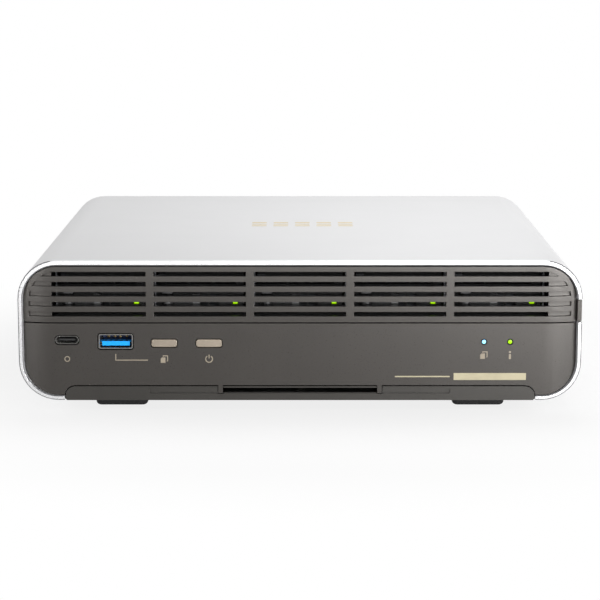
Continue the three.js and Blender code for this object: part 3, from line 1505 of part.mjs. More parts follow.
const enclosure = new THREE.Group();
enclosure.name = "nas_enclosure";
addCasing(enclosure);
addFrontControls(enclosure);
addBays(enclosure);
addElectronics(enclosure);

export default enclosure;
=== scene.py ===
# Looks of the five-bay flash storage enclosure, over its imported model: finishes, rounded edges,
# lit lenses, contacts, printed marks and screws. Lengths are in metres. X runs to the right, the
# front faces -Y and Z is up.

import json
import math

import bmesh
import bpy
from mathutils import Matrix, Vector

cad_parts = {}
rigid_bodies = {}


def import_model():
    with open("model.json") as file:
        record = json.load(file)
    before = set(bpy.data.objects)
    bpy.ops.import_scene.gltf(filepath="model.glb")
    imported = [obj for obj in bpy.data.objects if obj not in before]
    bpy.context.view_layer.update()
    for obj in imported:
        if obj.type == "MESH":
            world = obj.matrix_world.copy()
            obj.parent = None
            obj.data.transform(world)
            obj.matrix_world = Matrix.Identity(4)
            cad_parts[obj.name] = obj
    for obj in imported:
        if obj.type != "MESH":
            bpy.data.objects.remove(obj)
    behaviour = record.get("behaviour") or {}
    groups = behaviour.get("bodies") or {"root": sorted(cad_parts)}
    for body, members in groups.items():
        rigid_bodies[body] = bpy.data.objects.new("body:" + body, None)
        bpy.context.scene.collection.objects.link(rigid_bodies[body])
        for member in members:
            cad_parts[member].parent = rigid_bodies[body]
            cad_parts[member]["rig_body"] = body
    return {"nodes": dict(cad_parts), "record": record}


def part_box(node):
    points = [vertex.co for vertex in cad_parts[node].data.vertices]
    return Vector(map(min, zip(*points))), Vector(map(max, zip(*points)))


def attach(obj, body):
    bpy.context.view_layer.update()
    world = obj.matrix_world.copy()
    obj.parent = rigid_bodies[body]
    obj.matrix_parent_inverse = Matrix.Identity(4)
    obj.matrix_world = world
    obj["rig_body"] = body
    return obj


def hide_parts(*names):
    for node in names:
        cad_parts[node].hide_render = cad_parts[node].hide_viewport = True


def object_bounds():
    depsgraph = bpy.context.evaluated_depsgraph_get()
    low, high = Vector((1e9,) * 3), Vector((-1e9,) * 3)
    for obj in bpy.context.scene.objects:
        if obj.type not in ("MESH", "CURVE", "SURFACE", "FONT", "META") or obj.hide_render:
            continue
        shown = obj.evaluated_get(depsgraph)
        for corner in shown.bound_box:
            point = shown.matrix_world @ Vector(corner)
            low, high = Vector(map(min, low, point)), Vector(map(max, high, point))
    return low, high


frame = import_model()
cad_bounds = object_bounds()

# Camera, as the photograph was taken
CAMERA_PLACE = (0, -0.8578, 0.1785)
CAMERA_TILT = math.radians(80)
CAMERA_LENS = 121.5
CAMERA_SENSOR = 36

# How the CAD meshes are cleaned and rounded
WELD_DISTANCE = 1e-6
FLAT_ANGLE = math.radians(1)
SHARP_ANGLE = math.radians(28)
BEVEL_STEPS = 2
FLAT_FACE_WEIGHT = 100

# How finely round forms are divided
ROUND_STEPS = 64
CORNER_STEPS = 4
DOME_STEPS = 6

# Printed and inlaid marks
PRINT_HEIGHT = 0.00005
PRINT_ROOT = 0.00003
STROKE = 0.00035

LOW, HIGH = cad_bounds
FRONT = LOW[1]
BACK = HIGH[1]
TOP = HIGH[2]

body_of = {node: obj["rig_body"] for node, obj in frame["nodes"].items()}
slot_of = {part["node"]: part["material_slot"] for part in frame["record"]["subparts"]}


def middle(node):
    low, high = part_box(node)
    return (Vector(low) + Vector(high)) / 2


# Materials


NOISE_LOW = 0.3
NOISE_HIGH = 0.7
MOTTLE_DETAIL = 3.0
GRAIN_DETAIL = 2.0
GRAIN_HEIGHT_SHARE = 0.25
ROUGHNESS_SWING = 0.15


def linear(colour):
    """A screen colour from 0 to 255 as Blender's linear values"""
    parts = [channel / 255 for channel in colour]
    bent = [c / 12.92 if c <= 0.04045 else ((c + 0.055) / 1.055) ** 2.4 for c in parts]
    return (*bent, 1)


def object_place(tree, stretch):
    """Places on the object, drawn out along its grain"""
    where = tree.nodes.new("ShaderNodeTexCoord")
    mapping = tree.nodes.new("ShaderNodeMapping")
    mapping.inputs["Scale"].default_value = stretch
    tree.links.new(where.outputs["Object"], mapping.inputs["Vector"])
    return mapping.outputs["Vector"]


def noise(tree, place, size, detail):
    texture = tree.nodes.new("ShaderNodeTexNoise")
    texture.inputs["Scale"].default_value = 1 / size
    texture.inputs["Detail"].default_value = detail
    tree.links.new(place, texture.inputs["Vector"])
    return texture.outputs["Fac"]


def spread(tree, value, low, high):
    """The middle part of a noise value, spread over a range"""
    ramp = tree.nodes.new("ShaderNodeMapRange")
    ramp.inputs["From Min"].default_value = NOISE_LOW
    ramp.inputs["From Max"].default_value = NOISE_HIGH
    ramp.inputs["To Min"].default_value = low
    ramp.inputs["To Max"].default_value = high
    tree.links.new(value, ramp.inputs["Value"])
    return ramp.outputs["Result"]


def shaded(tree, value, colour, mottle):
    """A colour that wanders a little darker and lighter"""
    mix = tree.nodes.new("ShaderNodeMix")
    mix.data_type = "RGBA"
    tree.links.new(value, mix.inputs["Factor"])
    base = linear(colour)[:3]
    mix.inputs["A"].default_value = (*[c * (1 - mottle) for c in base], 1)
    mix.inputs["B"].default_value = (*[min(1, c * (1 + mottle)) for c in base], 1)
    return mix.outputs["Result"]


def add_relief(tree, shader, height, strength, depth):
    bump = tree.nodes.new("ShaderNodeBump")
    bump.inputs["Strength"].default_value = strength
    bump.inputs["Distance"].default_value = depth
    tree.links.new(height, bump.inputs["Height"])
    tree.links.new(bump.outputs["Normal"], shader.inputs["Normal"])


def finish(
    name,
    colour,
    roughness,
    metal=0.0,
    mottle=0.08,
    mottle_size=0.012,
    grain=0.15,
    grain_size=0.0003,
    stretch=(1, 1, 1),
    specular=0.5,
    glow=0.0,
):
    """A procedural surface: wandering colour, uneven roughness and a fine grain in relief"""
    material = bpy.data.materials.new(name)
    material.use_nodes = True
    tree = material.node_tree
    shader = tree.nodes["Principled BSDF"]
    shader.inputs["Metallic"].default_value = metal
    shader.inputs["Specular IOR Level"].default_value = specular
    place = object_place(tree, stretch)
    wide = noise(tree, place, mottle_size, MOTTLE_DETAIL)
    fine = noise(tree, place, grain_size, GRAIN_DETAIL)
    base = shaded(tree, spread(tree, wide, 0, 1), colour, mottle)
    tree.links.new(base, shader.inputs["Base Color"])
    smoothest = roughness * (1 - ROUGHNESS_SWING)
    roughest = min(1, roughness * (1 + ROUGHNESS_SWING))
    tree.links.new(spread(tree, fine, smoothest, roughest), shader.inputs["Roughness"])
    add_relief(tree, shader, fine, grain, grain_size * GRAIN_HEIGHT_SHARE)
    if glow:
        tree.links.new(base, shader.inputs["Emission Color"])
        shader.inputs["Emission Strength"].default_value = glow
    return material


# Brushed grain, drawn out along one axis
ALONG_X = (0.04, 1, 1)
ALONG_Y = (1, 0.04, 1)

# The finish of each material slot, and further ones for parts of pieces
finishes = {
    "shell": finish(
        "shell_satin", (224, 224, 225), 0.42, metal=0.35, mottle=0.008, mottle_size=0.03
    ),
    # The mouths' sloped edges, painted darker than the shell as shade; the edges along the lid keep the
    # shell's colour
    "painted_shade_edge": finish(
        "mouth_edge_painted_shade", (112, 112, 114), 0.35, metal=0.3, mottle=0.02, specular=0.3
    ),
    "shell_lip": finish("shell_polished_lip", (196, 196, 197), 0.3, metal=0.5, mottle=0.02),
    "front_panel": finish(
        "panel_bronze", (50, 47, 44), 0.32, metal=0.4, mottle=0.04, grain=0.2, specular=0.45
    ),
    "base": finish(
        "base_bronze", (46, 44, 41), 0.34, metal=0.4, mottle=0.05, grain=0.2, specular=0.45
    ),
    "button": finish("button_champagne", (132, 122, 109), 0.36, metal=0.4, grain_size=0.0002),
    "foot_rubber": finish(
        "foot_rubber", (22, 22, 23), 0.85, grain=0.5, grain_size=0.0006, specular=0.3
    ),
    "black_plastic": finish("black_plastic", (20, 20, 21), 0.5, grain=0.3, specular=0.3),
    "tray_plastic": finish("tray_plastic", (52, 52, 53), 0.55, grain=0.25, specular=0.3),
    "lever_plastic": finish("lever_plastic", (42, 42, 43), 0.42, grain=0.25, specular=0.3),
    # The drive cage's sheet, near black
    "sheet_steel": finish(
        "near_black_sheet", (24, 24, 25), 0.5, metal=0.5, mottle=0.06, mottle_size=0.004, specular=0.3
    ),
    "connector_metal": finish("tinned_metal", (205, 203, 198), 0.24, metal=0.95, stretch=ALONG_Y),
    "rear_metal": finish("rear_powder_coat", (38, 38, 39), 0.6, grain=0.6, grain_size=0.0005),
    "screw_metal": finish("screw_nickel", (120, 120, 124), 0.3, metal=0.95),
    "blue_plastic": finish("socket_blue", (3, 150, 232), 0.4, grain=0.1, specular=0.3),
    "green_lens": finish(
        "lit_green", (154, 212, 2), 0.3, glow=1.05, mottle=0.15, mottle_size=0.001, specular=0.2
    ),
    "status_lens": finish(
        "lit_status", (128, 180, 0), 0.3, glow=0.8, mottle=0.15, mottle_size=0.001, specular=0.2
    ),
    "blue_lens": finish(
        "lit_blue", (132, 205, 250), 0.3, glow=0.8, mottle=0.1, mottle_size=0.001, specular=0.2
    ),
    "circuit_board": finish("board_green", (26, 74, 50), 0.45, mottle=0.3, mottle_size=0.003),
    "heat_sink": finish("fin_aluminium", (150, 152, 155), 0.38, metal=0.9, stretch=ALONG_X),
    "drive_metal": finish(
        "drive_dark_aluminium", (40, 41, 43), 0.45, metal=0.7, stretch=ALONG_Y, specular=0.3
    ),
    "contact_gold": finish("contact_gold", (120, 104, 74), 0.35, metal=0.8),
    "print_beige": finish(
        "print_beige", (134, 125, 110), 0.6, mottle=0.05, mottle_size=0.001, specular=0.3
    ),
    "print_gold": finish(
        "print_gold", (150, 143, 119), 0.45, metal=0.2, mottle_size=0.006, specular=0.3
    ),
    "emblem_gold": finish("emblem_gold", (214, 190, 128), 0.4, metal=0.7, mottle=0.05),
    # Darker copies of the socket metal for the sockets' front faces: painted shade
    "usb_a_rim_painted_shade": finish("usb_a_rim_painted_shade", (112, 110, 107), 0.3, metal=0.8),
    "usb_c_rim_painted_shade": finish("usb_c_rim_painted_shade", (74, 73, 71), 0.35, metal=0.6),
    "lever_tip": finish("lever_tip", (98, 98, 99), 0.45, grain=0.25, specular=0.3),
    "tray_zinc": finish("tray_zinc", (150, 151, 154), 0.35, metal=0.8),
    # Near black, painted as shade: in screw crosses, on the lamp lenses' walls and in rings around the
    # lamps
    "painted_shade_black": finish("painted_shade_black", (8, 9, 11), 0.7, specular=0.1),
    # The socket tongue's blue, darkened as painted shade for its top, its inner part and its flat
    # contacts
    "blue_in_painted_shade": finish("blue_in_painted_shade", (6, 34, 78), 0.5),
    "grey_plastic": finish("grey_plastic", (92, 92, 94), 0.5),
}

for node, obj in frame["nodes"].items():
    obj.data.materials.clear()
    obj.data.materials.append(finishes[slot_of[node]])


# Making pieces


def place_piece(obj, body, look):
    """Gives a new piece its material, if it has none yet, and its body"""
    if not obj.data.materials:
        obj.data.materials.append(finishes[look])
    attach(obj, body)
    return obj


def new_object(name, mesh):
    data = bpy.data.meshes.new(name)
    bmesh.ops.recalc_face_normals(mesh, faces=mesh.faces)
    mesh.to_mesh(data)
    mesh.free()
    for face in data.polygons:
        face.use_smooth = True
    obj = bpy.data.objects.new(name, data)
    bpy.context.scene.collection.objects.link(obj)
    return obj


def round_edges(obj, width, segments=BEVEL_STEPS):
    bevel = obj.modifiers.new("rounded edges", "BEVEL")
    bevel.width = width
    bevel.segments = segments
    bevel.limit_method = "ANGLE"
    bevel.angle_limit = SHARP_ANGLE
    bevel.use_clamp_overlap = True
    even = obj.modifiers.new("even shading", "WEIGHTED_NORMAL")
    even.keep_sharp = True
    even.weight = FLAT_FACE_WEIGHT
    return obj


def bake(obj):
    """Makes a piece's modifiers part of its mesh"""
    graph = bpy.context.evaluated_depsgraph_get()
    baked = bpy.data.meshes.new_from_object(obj.evaluated_get(graph))
    obj.modifiers.clear()
    obj.data = baked


def crease(obj):
    """Keeps a piece's corners crisp and its round faces smooth"""
    obj.data.set_sharp_from_angle(angle=SHARP_ANGLE)
    return obj


def flat_copy(node):
    """A CAD node's mesh with its flat faces made whole"""
    mesh = bmesh.new()
    mesh.from_mesh(frame["nodes"][node].data)
    bmesh.ops.remove_doubles(mesh, verts=mesh.verts, dist=WELD_DISTANCE)
    bmesh.ops.dissolve_limit(
        mesh, angle_limit=FLAT_ANGLE, verts=mesh.verts[:], edges=mesh.edges[:]
    )
    return mesh


def stand_for(obj, node, look=None):
    """Lets a finer piece stand for a CAD node"""
    place_piece(obj, body_of[node], look or slot_of[node])
    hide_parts(node)
    return obj


def dressed(node, rounding, segments=BEVEL_STEPS, sink=None):
    """A CAD node's copy with rounded edges, drawn back by the print's height where a mark sits"""
    mesh = flat_copy(node)
    if sink:
        axis, level = sink
        into = -math.copysign(PRINT_HEIGHT, level)
        for vert in mesh.verts:
            if abs(vert.co[axis] - level) < WELD_DISTANCE:
                vert.co[axis] += into
    obj = new_object(f"{node}_dressed", mesh)
    round_edges(obj, rounding, segments)
    return stand_for(obj, node)


def repaint(obj, look, chosen):
    """Gives some of a piece's faces another look"""
    obj.data.materials.append(finishes[look])
    for face in obj.data.polygons:
        if chosen(face):
            face.material_index = len(obj.data.materials) - 1


# Outlines and simple forms


SLAB_QUADS = ((0, 1, 3, 2), (4, 6, 7, 5), (0, 4, 5, 1), (2, 3, 7, 6), (0, 2, 6, 4), (1, 5, 7, 3))


def add_slab(mesh, x, y, z):
    corners = [mesh.verts.new((a, b, c)) for a in x for b in y for c in z]
    for quad in SLAB_QUADS:
        mesh.faces.new([corners[i] for i in quad])


def slabs(name, boxes, rounding, body, look):
    """One piece made of small round-edged blocks, each given as its spans on X, Y and Z"""
    mesh = bmesh.new()
    for spans in boxes:
        add_slab(mesh, *spans)
    obj = round_edges(new_object(name, mesh), rounding)
    return place_piece(obj, body, look)


def around(centre, size):
    return (centre - size / 2, centre + size / 2)


def evenly(count, pitch):
    """Places of a row of copies, centred on zero"""
    return [(i - (count - 1) / 2) * pitch for i in range(count)]


def arc(centre, radius, start, end, steps):
    turns = [start + (end - start) * i / steps for i in range(steps + 1)]
    return [(centre[0] + radius * math.cos(t), centre[1] + radius * math.sin(t)) for t in turns]


def rounded(a, b, radius):
    """A round-cornered rectangle over two spans"""
    quarter = math.pi / 2
    corners = [
        ((a[1] - radius, b[0] + radius), -quarter),
        ((a[1] - radius, b[1] - radius), 0),
        ((a[0] + radius, b[1] - radius), quarter),
        ((a[0] + radius, b[0] + radius), math.pi),
    ]
    arcs = [arc(centre, radius, start, start + quarter, CORNER_STEPS) for centre, start in corners]
    return sum(arcs, [])


def prism(name, loops, at):
    """Closed outlines as thin plates; at(a, b, deep) gives the point of an outline's front or back"""
    mesh = bmesh.new()
    for loop in loops:
        rings = [[mesh.verts.new(at(a, b, deep)) for a, b in loop] for deep in (False, True)]
        mesh.faces.new(rings[0])
        mesh.faces.new(rings[1][::-1])
        for i in range(len(loop)):
            j = (i + 1) % len(loop)
            mesh.faces.new((rings[0][i], rings[1][i], rings[1][j], rings[0][j]))
    obj = new_object(name, mesh)
    for face in obj.data.polygons:
        face.use_smooth = False
    return obj


def on_front(a, b, deep):
    return (a, FRONT + (PRINT_HEIGHT + PRINT_ROOT if deep else 0), b)


def on_top(a, b, deep):
    return (a, b, TOP - (PRINT_HEIGHT + PRINT_ROOT if deep else 0))


def quarter_turns(steps):
    return [math.pi / 2 * i / steps for i in range(steps + 1)]


def low_dome(radius, top, rise):
    """The end of a lathe's profile: a low dome, from its rim to the axis"""
    points = [
        (radius * math.cos(t), top - rise + rise * math.sin(t)) for t in quarter_turns(DOME_STEPS)
    ]
    return [*points[:-1], (0, top)]


def lathe(name, profile, place, axis, steps=ROUND_STEPS):
    """A profile of (radius, height) points turned about an axis, whose heights run along it"""
    along = Vector(axis).normalized()
    side = along.orthogonal().normalized()
    other = along.cross(side)
    turns = [math.tau * i / steps for i in range(steps)]
    spokes = [side * math.cos(t) + other * math.sin(t) for t in turns]
    mesh = bmesh.new()
    rings = []
    for radius, height in profile:
        base = Vector(place) + along * height
        points = [base + radius * spoke for spoke in spokes] if radius else [base]
        rings.append([mesh.verts.new(point) for point in points])
    for low, high in zip(rings, rings[1:]):
        for i in range(steps):
            j = (i + 1) % steps
            quad = [low[i % len(low)], low[j % len(low)], high[j % len(high)], high[i % len(high)]]
            mesh.faces.new(list(dict.fromkeys(quad)))
    return new_object(name, mesh)


# Casing


SHELL_ROUNDING = 0.00012
PANEL_ROUNDING = 0.00028
GRILLE_ROUNDING = 0.0002
STRIP_ROUNDING = 0.00022
REAR_ROUNDING = 0.00018
LIP_REACH = 0.0006
FLAT_SHARE = 0.9
SLOPE_SHARE = 0.3


def make_shell():
    """The sleeve, with the flat ends of its two mouths polished, and their sloped edges, apart from
    those along the lid, painted darker as shade
    """

    def at_mouth(face):
        return min(face.center.y - FRONT, BACK - face.center.y) < LIP_REACH

    def is_lip(face):
        return at_mouth(face) and abs(face.normal.y) > FLAT_SHARE

    def is_shaded_edge(face):
        slopes = SLOPE_SHARE < abs(face.normal.y) < FLAT_SHARE
        on_lid = face.normal.z > SLOPE_SHARE and face.center.z > TOP - LIP_REACH
        return at_mouth(face) and slopes and not on_lid

    shell = dressed("outer_shell", SHELL_ROUNDING, sink=(2, TOP))
    repaint(shell, "shell_lip", is_lip)
    # Sloped edges at the mouths, away from the lid, are painted darker as shade
    repaint(shell, "painted_shade_edge", is_shaded_edge)


# A bar's width, in radii of its rounded ends
BAR_END = 2.1

EMBLEM_COLUMNS = 5
EMBLEM_ROWS = 3
EMBLEM_BAR = (0.0064, 0.0016)
EMBLEM_PITCH = (0.0092, 0.0052)
EMBLEM_PLACE = (0.001, 0.0015)


def make_emblem():
    """A plain inlaid pattern on the lid, in the grille's own columns"""
    length, width = EMBLEM_BAR
    across, back = EMBLEM_PLACE
    loops = [
        rounded(around(across + x, length), around(back + y, width), width / BAR_END)
        for x in evenly(EMBLEM_COLUMNS, EMBLEM_PITCH[0])
        for y in evenly(EMBLEM_ROWS, EMBLEM_PITCH[1])
    ]
    emblem = prism("lid_emblem", loops, on_top)
    place_piece(emblem, body_of["outer_shell"], "emblem_gold")


def make_casing():
    make_shell()
    make_emblem()
    dressed("front_bezel", PANEL_ROUNDING, sink=(1, FRONT))
    dressed("bay_cover", GRILLE_ROUNDING)
    dressed("base_plate", STRIP_ROUNDING)
    dressed("rear_panel", REAR_ROUNDING)


# Feet


FOOT_CORNER = 0.0024
FOOT_ROUNDING = 0.0016
FOOT_STEPS = 5
SOLE_RIM = 0.0004
SOLE_SLOPE = 0.0001
SOLE_RECESS = 0.0004


def foot_profile(low, high):
    """Inset and height of a foot's rings, from its top down around its edge to its recessed sole"""
    edge = [
        (FOOT_ROUNDING * (1 - math.cos(t)), low + FOOT_ROUNDING * (1 - math.sin(t)))
        for t in quarter_turns(FOOT_STEPS)
    ]
    rim = FOOT_ROUNDING + SOLE_RIM
    return [(0, high), *edge, (rim, low), (rim + SOLE_SLOPE, low + SOLE_RECESS)]


def make_foot(node):
    """A round-cornered pad with a softly rounded edge and a rim around its sole"""
    low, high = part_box(node)
    mesh = bmesh.new()
    rings = []
    for inset, level in foot_profile(low[2], high[2]):
        spans = [(low[axis] + inset, high[axis] - inset) for axis in (0, 1)]
        outline = rounded(*spans, FOOT_CORNER - inset)
        rings.append([mesh.verts.new((x, y, level)) for x, y in outline])
    mesh.faces.new(rings[0])
    mesh.faces.new(rings[-1][::-1])
    for upper, lower in zip(rings, rings[1:]):
        for i in range(len(upper)):
            j = (i + 1) % len(upper)
            mesh.faces.new((upper[i], lower[i], lower[j], upper[j]))
    stand_for(crease(new_object(f"{node}_dressed", mesh)), node)


def make_feet():
    for node in ("foot_1", "foot_2", "foot_3", "foot_4"):
        make_foot(node)


# Screws


SCREW_STEPS = 32
SCREW_HEAD_RADIUS = 0.0026
SCREW_HEAD_HEIGHT = 0.0007
SCREW_DOME = 0.0003
SHANK_RADIUS = 0.0014
REAR_SHANK_LENGTH = 0.005
BASE_SHANK_LENGTH = 0.001
CROSS_LENGTH = 0.0026
CROSS_WIDTH = 0.0006
CROSS_DEPTH = 0.0005
CROSS_SHADE = 0.0001
BASE_SCREW_PLACES = (0.085, 0.0875)


def screw_profile(shank_length):
    """From the shank's tip up to a low dome"""
    return [
        (0, -shank_length),
        (SHANK_RADIUS, -shank_length),
        (SHANK_RADIUS, 0),
        (SCREW_HEAD_RADIUS, 0),
        *low_dome(SCREW_HEAD_RADIUS, SCREW_HEAD_HEIGHT, SCREW_DOME),
    ]


def make_cutter(top, along):
    """Two crossed bars, half sunk into a screw's head"""
    side = along.orthogonal().normalized()
    other = along.cross(side)
    signs = [(s, t, u) for s in (-1, 1) for t in (-1, 1) for u in (-1, 1)]
    mesh = bmesh.new()
    for a, b in ((side, other), (other, side)):
        corners = [
            top + a * (s * CROSS_LENGTH / 2) + b * (t * CROSS_WIDTH / 2) + along * (u * CROSS_DEPTH)
            for s, t, u in signs
        ]
        bmesh.ops.convex_hull(mesh, input=[mesh.verts.new(corner) for corner in corners])
    return new_object("cross_cutter", mesh)


def cut_cross(obj, place, axis):
    """Cuts a cross for the driver into a screw's head and paints it dark as shade"""
    along = Vector(axis).normalized()
    top = Vector(place) + along * SCREW_HEAD_HEIGHT

    def in_cross(face):
        depth = (top - face.center).dot(along)
        off_axis = (top - face.center - along * depth).length
        return CROSS_SHADE < depth < 2 * CROSS_DEPTH and off_axis < CROSS_LENGTH / 2

    cutter = make_cutter(top, along)
    cut = obj.modifiers.new("cross", "BOOLEAN")
    cut.object = cutter
    cut.operation = "DIFFERENCE"
    cut.solver = "EXACT"
    cut.use_self = True
    bake(obj)
    bpy.data.objects.remove(cutter)
    crease(obj)
    obj.data.materials.append(finishes["screw_metal"])
    # The cross is painted near black as shade
    repaint(obj, "painted_shade_black", in_cross)


def make_screw(name, place, axis, shank_length):
    screw = lathe(name, screw_profile(shank_length), place, axis, SCREW_STEPS)
    cut_cross(screw, place, axis)
    return screw


def make_screws():
    """Four screws in the rear panel and four under the base"""
    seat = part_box("rear_panel")[1][1]
    for node in ("rear_screw_1", "rear_screw_2", "rear_screw_3", "rear_screw_4"):
        place = (middle(node).x, seat, middle(node).z)
        screw = make_screw(f"{node}_dressed", place, (0, 1, 0), REAR_SHANK_LENGTH)
        stand_for(screw, node)
    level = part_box("base_plate")[0][2]
    x, y = BASE_SCREW_PLACES
    for i, (across, back) in enumerate(((-x, -y), (-x, y), (x, -y), (x, y))):
        place = (across, back, level)
        screw = make_screw(f"base_screw_{i + 1}", place, (0, 0, -1), BASE_SHANK_LENGTH)
        place_piece(screw, body_of["base_plate"], "screw_metal")


# Front controls


BUTTON_ROUNDING = 0.00035
BUTTON_STEPS = 3
CONNECTOR_ROUNDING = 0.0001
# How far in the tongue keeps its lit blue; its top and deeper faces are painted darker as shade
TONGUE_LIT_DEPTH = 0.004
LENS_DOME = 0.0002
LENS_CORE_SHARE = 0.87


def make_lens(node, look):
    """A light pipe with a softly domed end, its outer wall painted black as shade around the lit core"""
    low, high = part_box(node)
    radius = (high[0] - low[0]) / 2
    place = (middle(node).x, high[1], middle(node).z)
    profile = [(0, 0), (radius, 0), *low_dome(radius, high[1] - low[1], LENS_DOME)]

    def on_wall(face):
        off_axis = math.hypot(face.center.x - place[0], face.center.z - place[2])
        return off_axis > radius * LENS_CORE_SHARE

    lens = crease(lathe(f"{node}_dressed", profile, place, (0, -1, 0)))
    stand_for(lens, node, look)
    # The lens's outer wall is painted black as shade
    repaint(lens, "painted_shade_black", on_wall)


def make_controls():
    for node in ("power_button", "copy_button"):
        dressed(node, BUTTON_ROUNDING, BUTTON_STEPS)
    for node in ("power_switch", "copy_switch"):
        dressed(node, CONNECTOR_ROUNDING)
    # Each socket's front faces take a darker copy of its metal, as painted shade
    for node, rim in (("front_usb_a_shell", "usb_a_rim_painted_shade"), ("front_usb_c_shell", "usb_c_rim_painted_shade")):
        repaint(dressed(node, CONNECTOR_ROUNDING), rim, lambda face: face.normal.y < -SLOPE_SHARE)
    tongue = dressed("front_usb_a_tongue", CONNECTOR_ROUNDING)
    # Its top and its part deep in the socket are painted a darker blue, as shade
    inside = FRONT + TONGUE_LIT_DEPTH
    repaint(tongue, "blue_in_painted_shade", lambda face: face.normal.z > SLOPE_SHARE or face.center.y > inside)
    dressed("front_usb_c_tongue", CONNECTOR_ROUNDING)
    make_lens("status_light_pipe", "status_lens")
    make_lens("copy_light_pipe", "blue_lens")


# Contacts in the front sockets


CONTACT_ROOT = 0.0001
CONTACT_THICKNESS = 0.00008

# The tongue's top, over the bottom of the socket's shell
TONGUE_TOP = 0.00265
SKIN_LENGTH = 0.0034
SKIN_RISE = CONTACT_THICKNESS / 3
SKIN_ROUNDING = 0.00001

FLAT_CONTACTS = 5
FLAT_CONTACT_PITCH = 0.002
FLAT_CONTACT_WIDTH = 0.0009
FLAT_CONTACT_LENGTH = 0.0022
FLAT_CONTACT_START = 0.0022
FLAT_CONTACT_ROUNDING = 0.00003

SPRING_PLACES = (-0.0035, -0.001, 0.001, 0.0035)
SPRING_WIDTH = 0.001
SPRING_LENGTH = 0.0018
SPRING_START = 0.0095
SPRING_RISE = 0.0009
SPRING_ROUNDING = 0.0003

FINGER_REACH = 0.00165
FINGER_WIDTH = 0.0008
FINGER_LENGTH = 0.001
FINGER_START = 0.0045
FINGER_BELOW = 0.0002
FINGER_ABOVE = 0.00065
FINGER_ROUNDING = 0.0002


def contact_row(places, width, depths, levels):
    """Boxes of a row of contacts that share their depth and height"""
    return [(around(x, width), depths, levels) for x in places]


def make_usb_a_contacts():
    """The tongue's lit tip, five flat contacts near its end, painted the darker blue of shade, and four
    sprung ones further in
    """
    body = body_of["front_usb_a_tongue"]
    centre = middle("front_usb_a_tongue").x
    low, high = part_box("front_usb_a_tongue")
    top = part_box("front_usb_a_shell")[0][2] + TONGUE_TOP

    lit = (low[1], low[1] + SKIN_LENGTH)
    skin = ((low[0], high[0]), lit, (top - CONTACT_THICKNESS, top + SKIN_RISE))
    slabs("usb_a_tongue_tip", [skin], SKIN_ROUNDING, body, "blue_plastic")

    # The flat contacts take the darker blue that paints the socket's shade
    start = FRONT + FLAT_CONTACT_START
    flat = contact_row(
        [centre + x for x in evenly(FLAT_CONTACTS, FLAT_CONTACT_PITCH)],
        FLAT_CONTACT_WIDTH,
        (start, start + FLAT_CONTACT_LENGTH),
        (top - CONTACT_ROOT, top + CONTACT_THICKNESS),
    )
    slabs("usb_a_flat_contacts", flat, FLAT_CONTACT_ROUNDING, body, "blue_in_painted_shade")

    start = FRONT + SPRING_START
    sprung = contact_row(
        [centre + x for x in SPRING_PLACES],
        SPRING_WIDTH,
        (start, start + SPRING_LENGTH),
        (top - CONTACT_ROOT, top + SPRING_RISE),
    )
    slabs("usb_a_spring_contacts", sprung, SPRING_ROUNDING, body, "contact_gold")


def make_usb_c_springs():
    """Two spring fingers beside the tongue"""
    node = "front_usb_c_tongue"
    centre = middle(node)
    start = FRONT + FINGER_START
    fingers = contact_row(
        [centre.x + side * FINGER_REACH for side in (-1, 1)],
        FINGER_WIDTH,
        (start, start + FINGER_LENGTH),
        (centre.z - FINGER_BELOW, centre.z + FINGER_ABOVE),
    )
    slabs("usb_c_springs", fingers, FINGER_ROUNDING, body_of[node], "grey_plastic")


# Printed marks on the bezel


MARK_DROP = 0.0061
LIGHT_MARK_DROP = 0.0051
MARK_STEPS = 28

# Where a ring's outline ends: a hair short of a whole turn, so that it doesn't meet itself
RING_END = math.tau * 0.999

POWER_RING = (0.00108, 0.0015)
POWER_GAP = math.radians(32)
POWER_BAR_WIDTH = STROKE * 1.1
POWER_BAR = (0.0002, 0.0017)

STATE_WIDTH = 0.0008
STATE_CORNER = 0.0002
STATE_DOT = (0.0008, 0.0015)
STATE_BAR = (-0.0016, 0.0004)

PORT_RADIUS = 0.0011

# The copy mark: a page with one corner off, and what shows of the sheet behind it
PAGE = (
    (-0.0014, -0.0015),
    (0.0004, -0.0015),
    (0.0004, 0.0006),
    (-0.0009, 0.0006),
    (-0.0014, 0.0001),
)
SHEET = (
    (-0.0006, 0.0009),
    (-0.0006, 0.0014),
    (0.0014, 0.0014),
    (0.0014, -0.0009),
    (0.0008, -0.0009),
    (0.0008, -0.0009 + STROKE / 2),
    (0.0014 - STROKE, -0.0009 + STROKE / 2),
    (0.0014 - STROKE, 0.0014 - STROKE),
    (-0.0006 + STROKE, 0.0014 - STROKE),
    (-0.0006 + STROKE, 0.0009),
)

# The line from the right socket to the copy button
LINK_START = 0.0048
LINK_FALL = 0.0024
LINK_GAP = 0.0063

LENS_RING = (0.00092, 0.0012)
LENS_RING_STEPS = 32

LABEL_SPAN = (0.0588, 0.0865)
LABEL_LEVEL = 0.01505
LABEL_HEIGHT = 0.0027
LABEL_CORNER = 0.0001
LABEL_LINE_SPAN = (0.0363, 0.0573)
LABEL_LINE_HEIGHT = 0.0005


def ring(place, radii, start, end, steps):
    """An open ring between an inner and an outer radius"""
    inner, outer = radii
    return arc(place, outer, start, end, steps) + arc(place, inner, end, start, steps)


def power_mark(x, z):
    """A ring open at the top with an upright bar"""
    start = math.pi / 2 + POWER_GAP
    end = math.pi / 2 + math.tau - POWER_GAP
    low, high = POWER_BAR
    bar = rounded(around(x, POWER_BAR_WIDTH), (z + low, z + high), STROKE / BAR_END)
    return [ring((x, z), POWER_RING, start, end, MARK_STEPS), bar]


def copy_mark(x, z):
    """A page in front of the edge of another"""
    return [[(x + a, z + b) for a, b in outline] for outline in (PAGE, SHEET)]


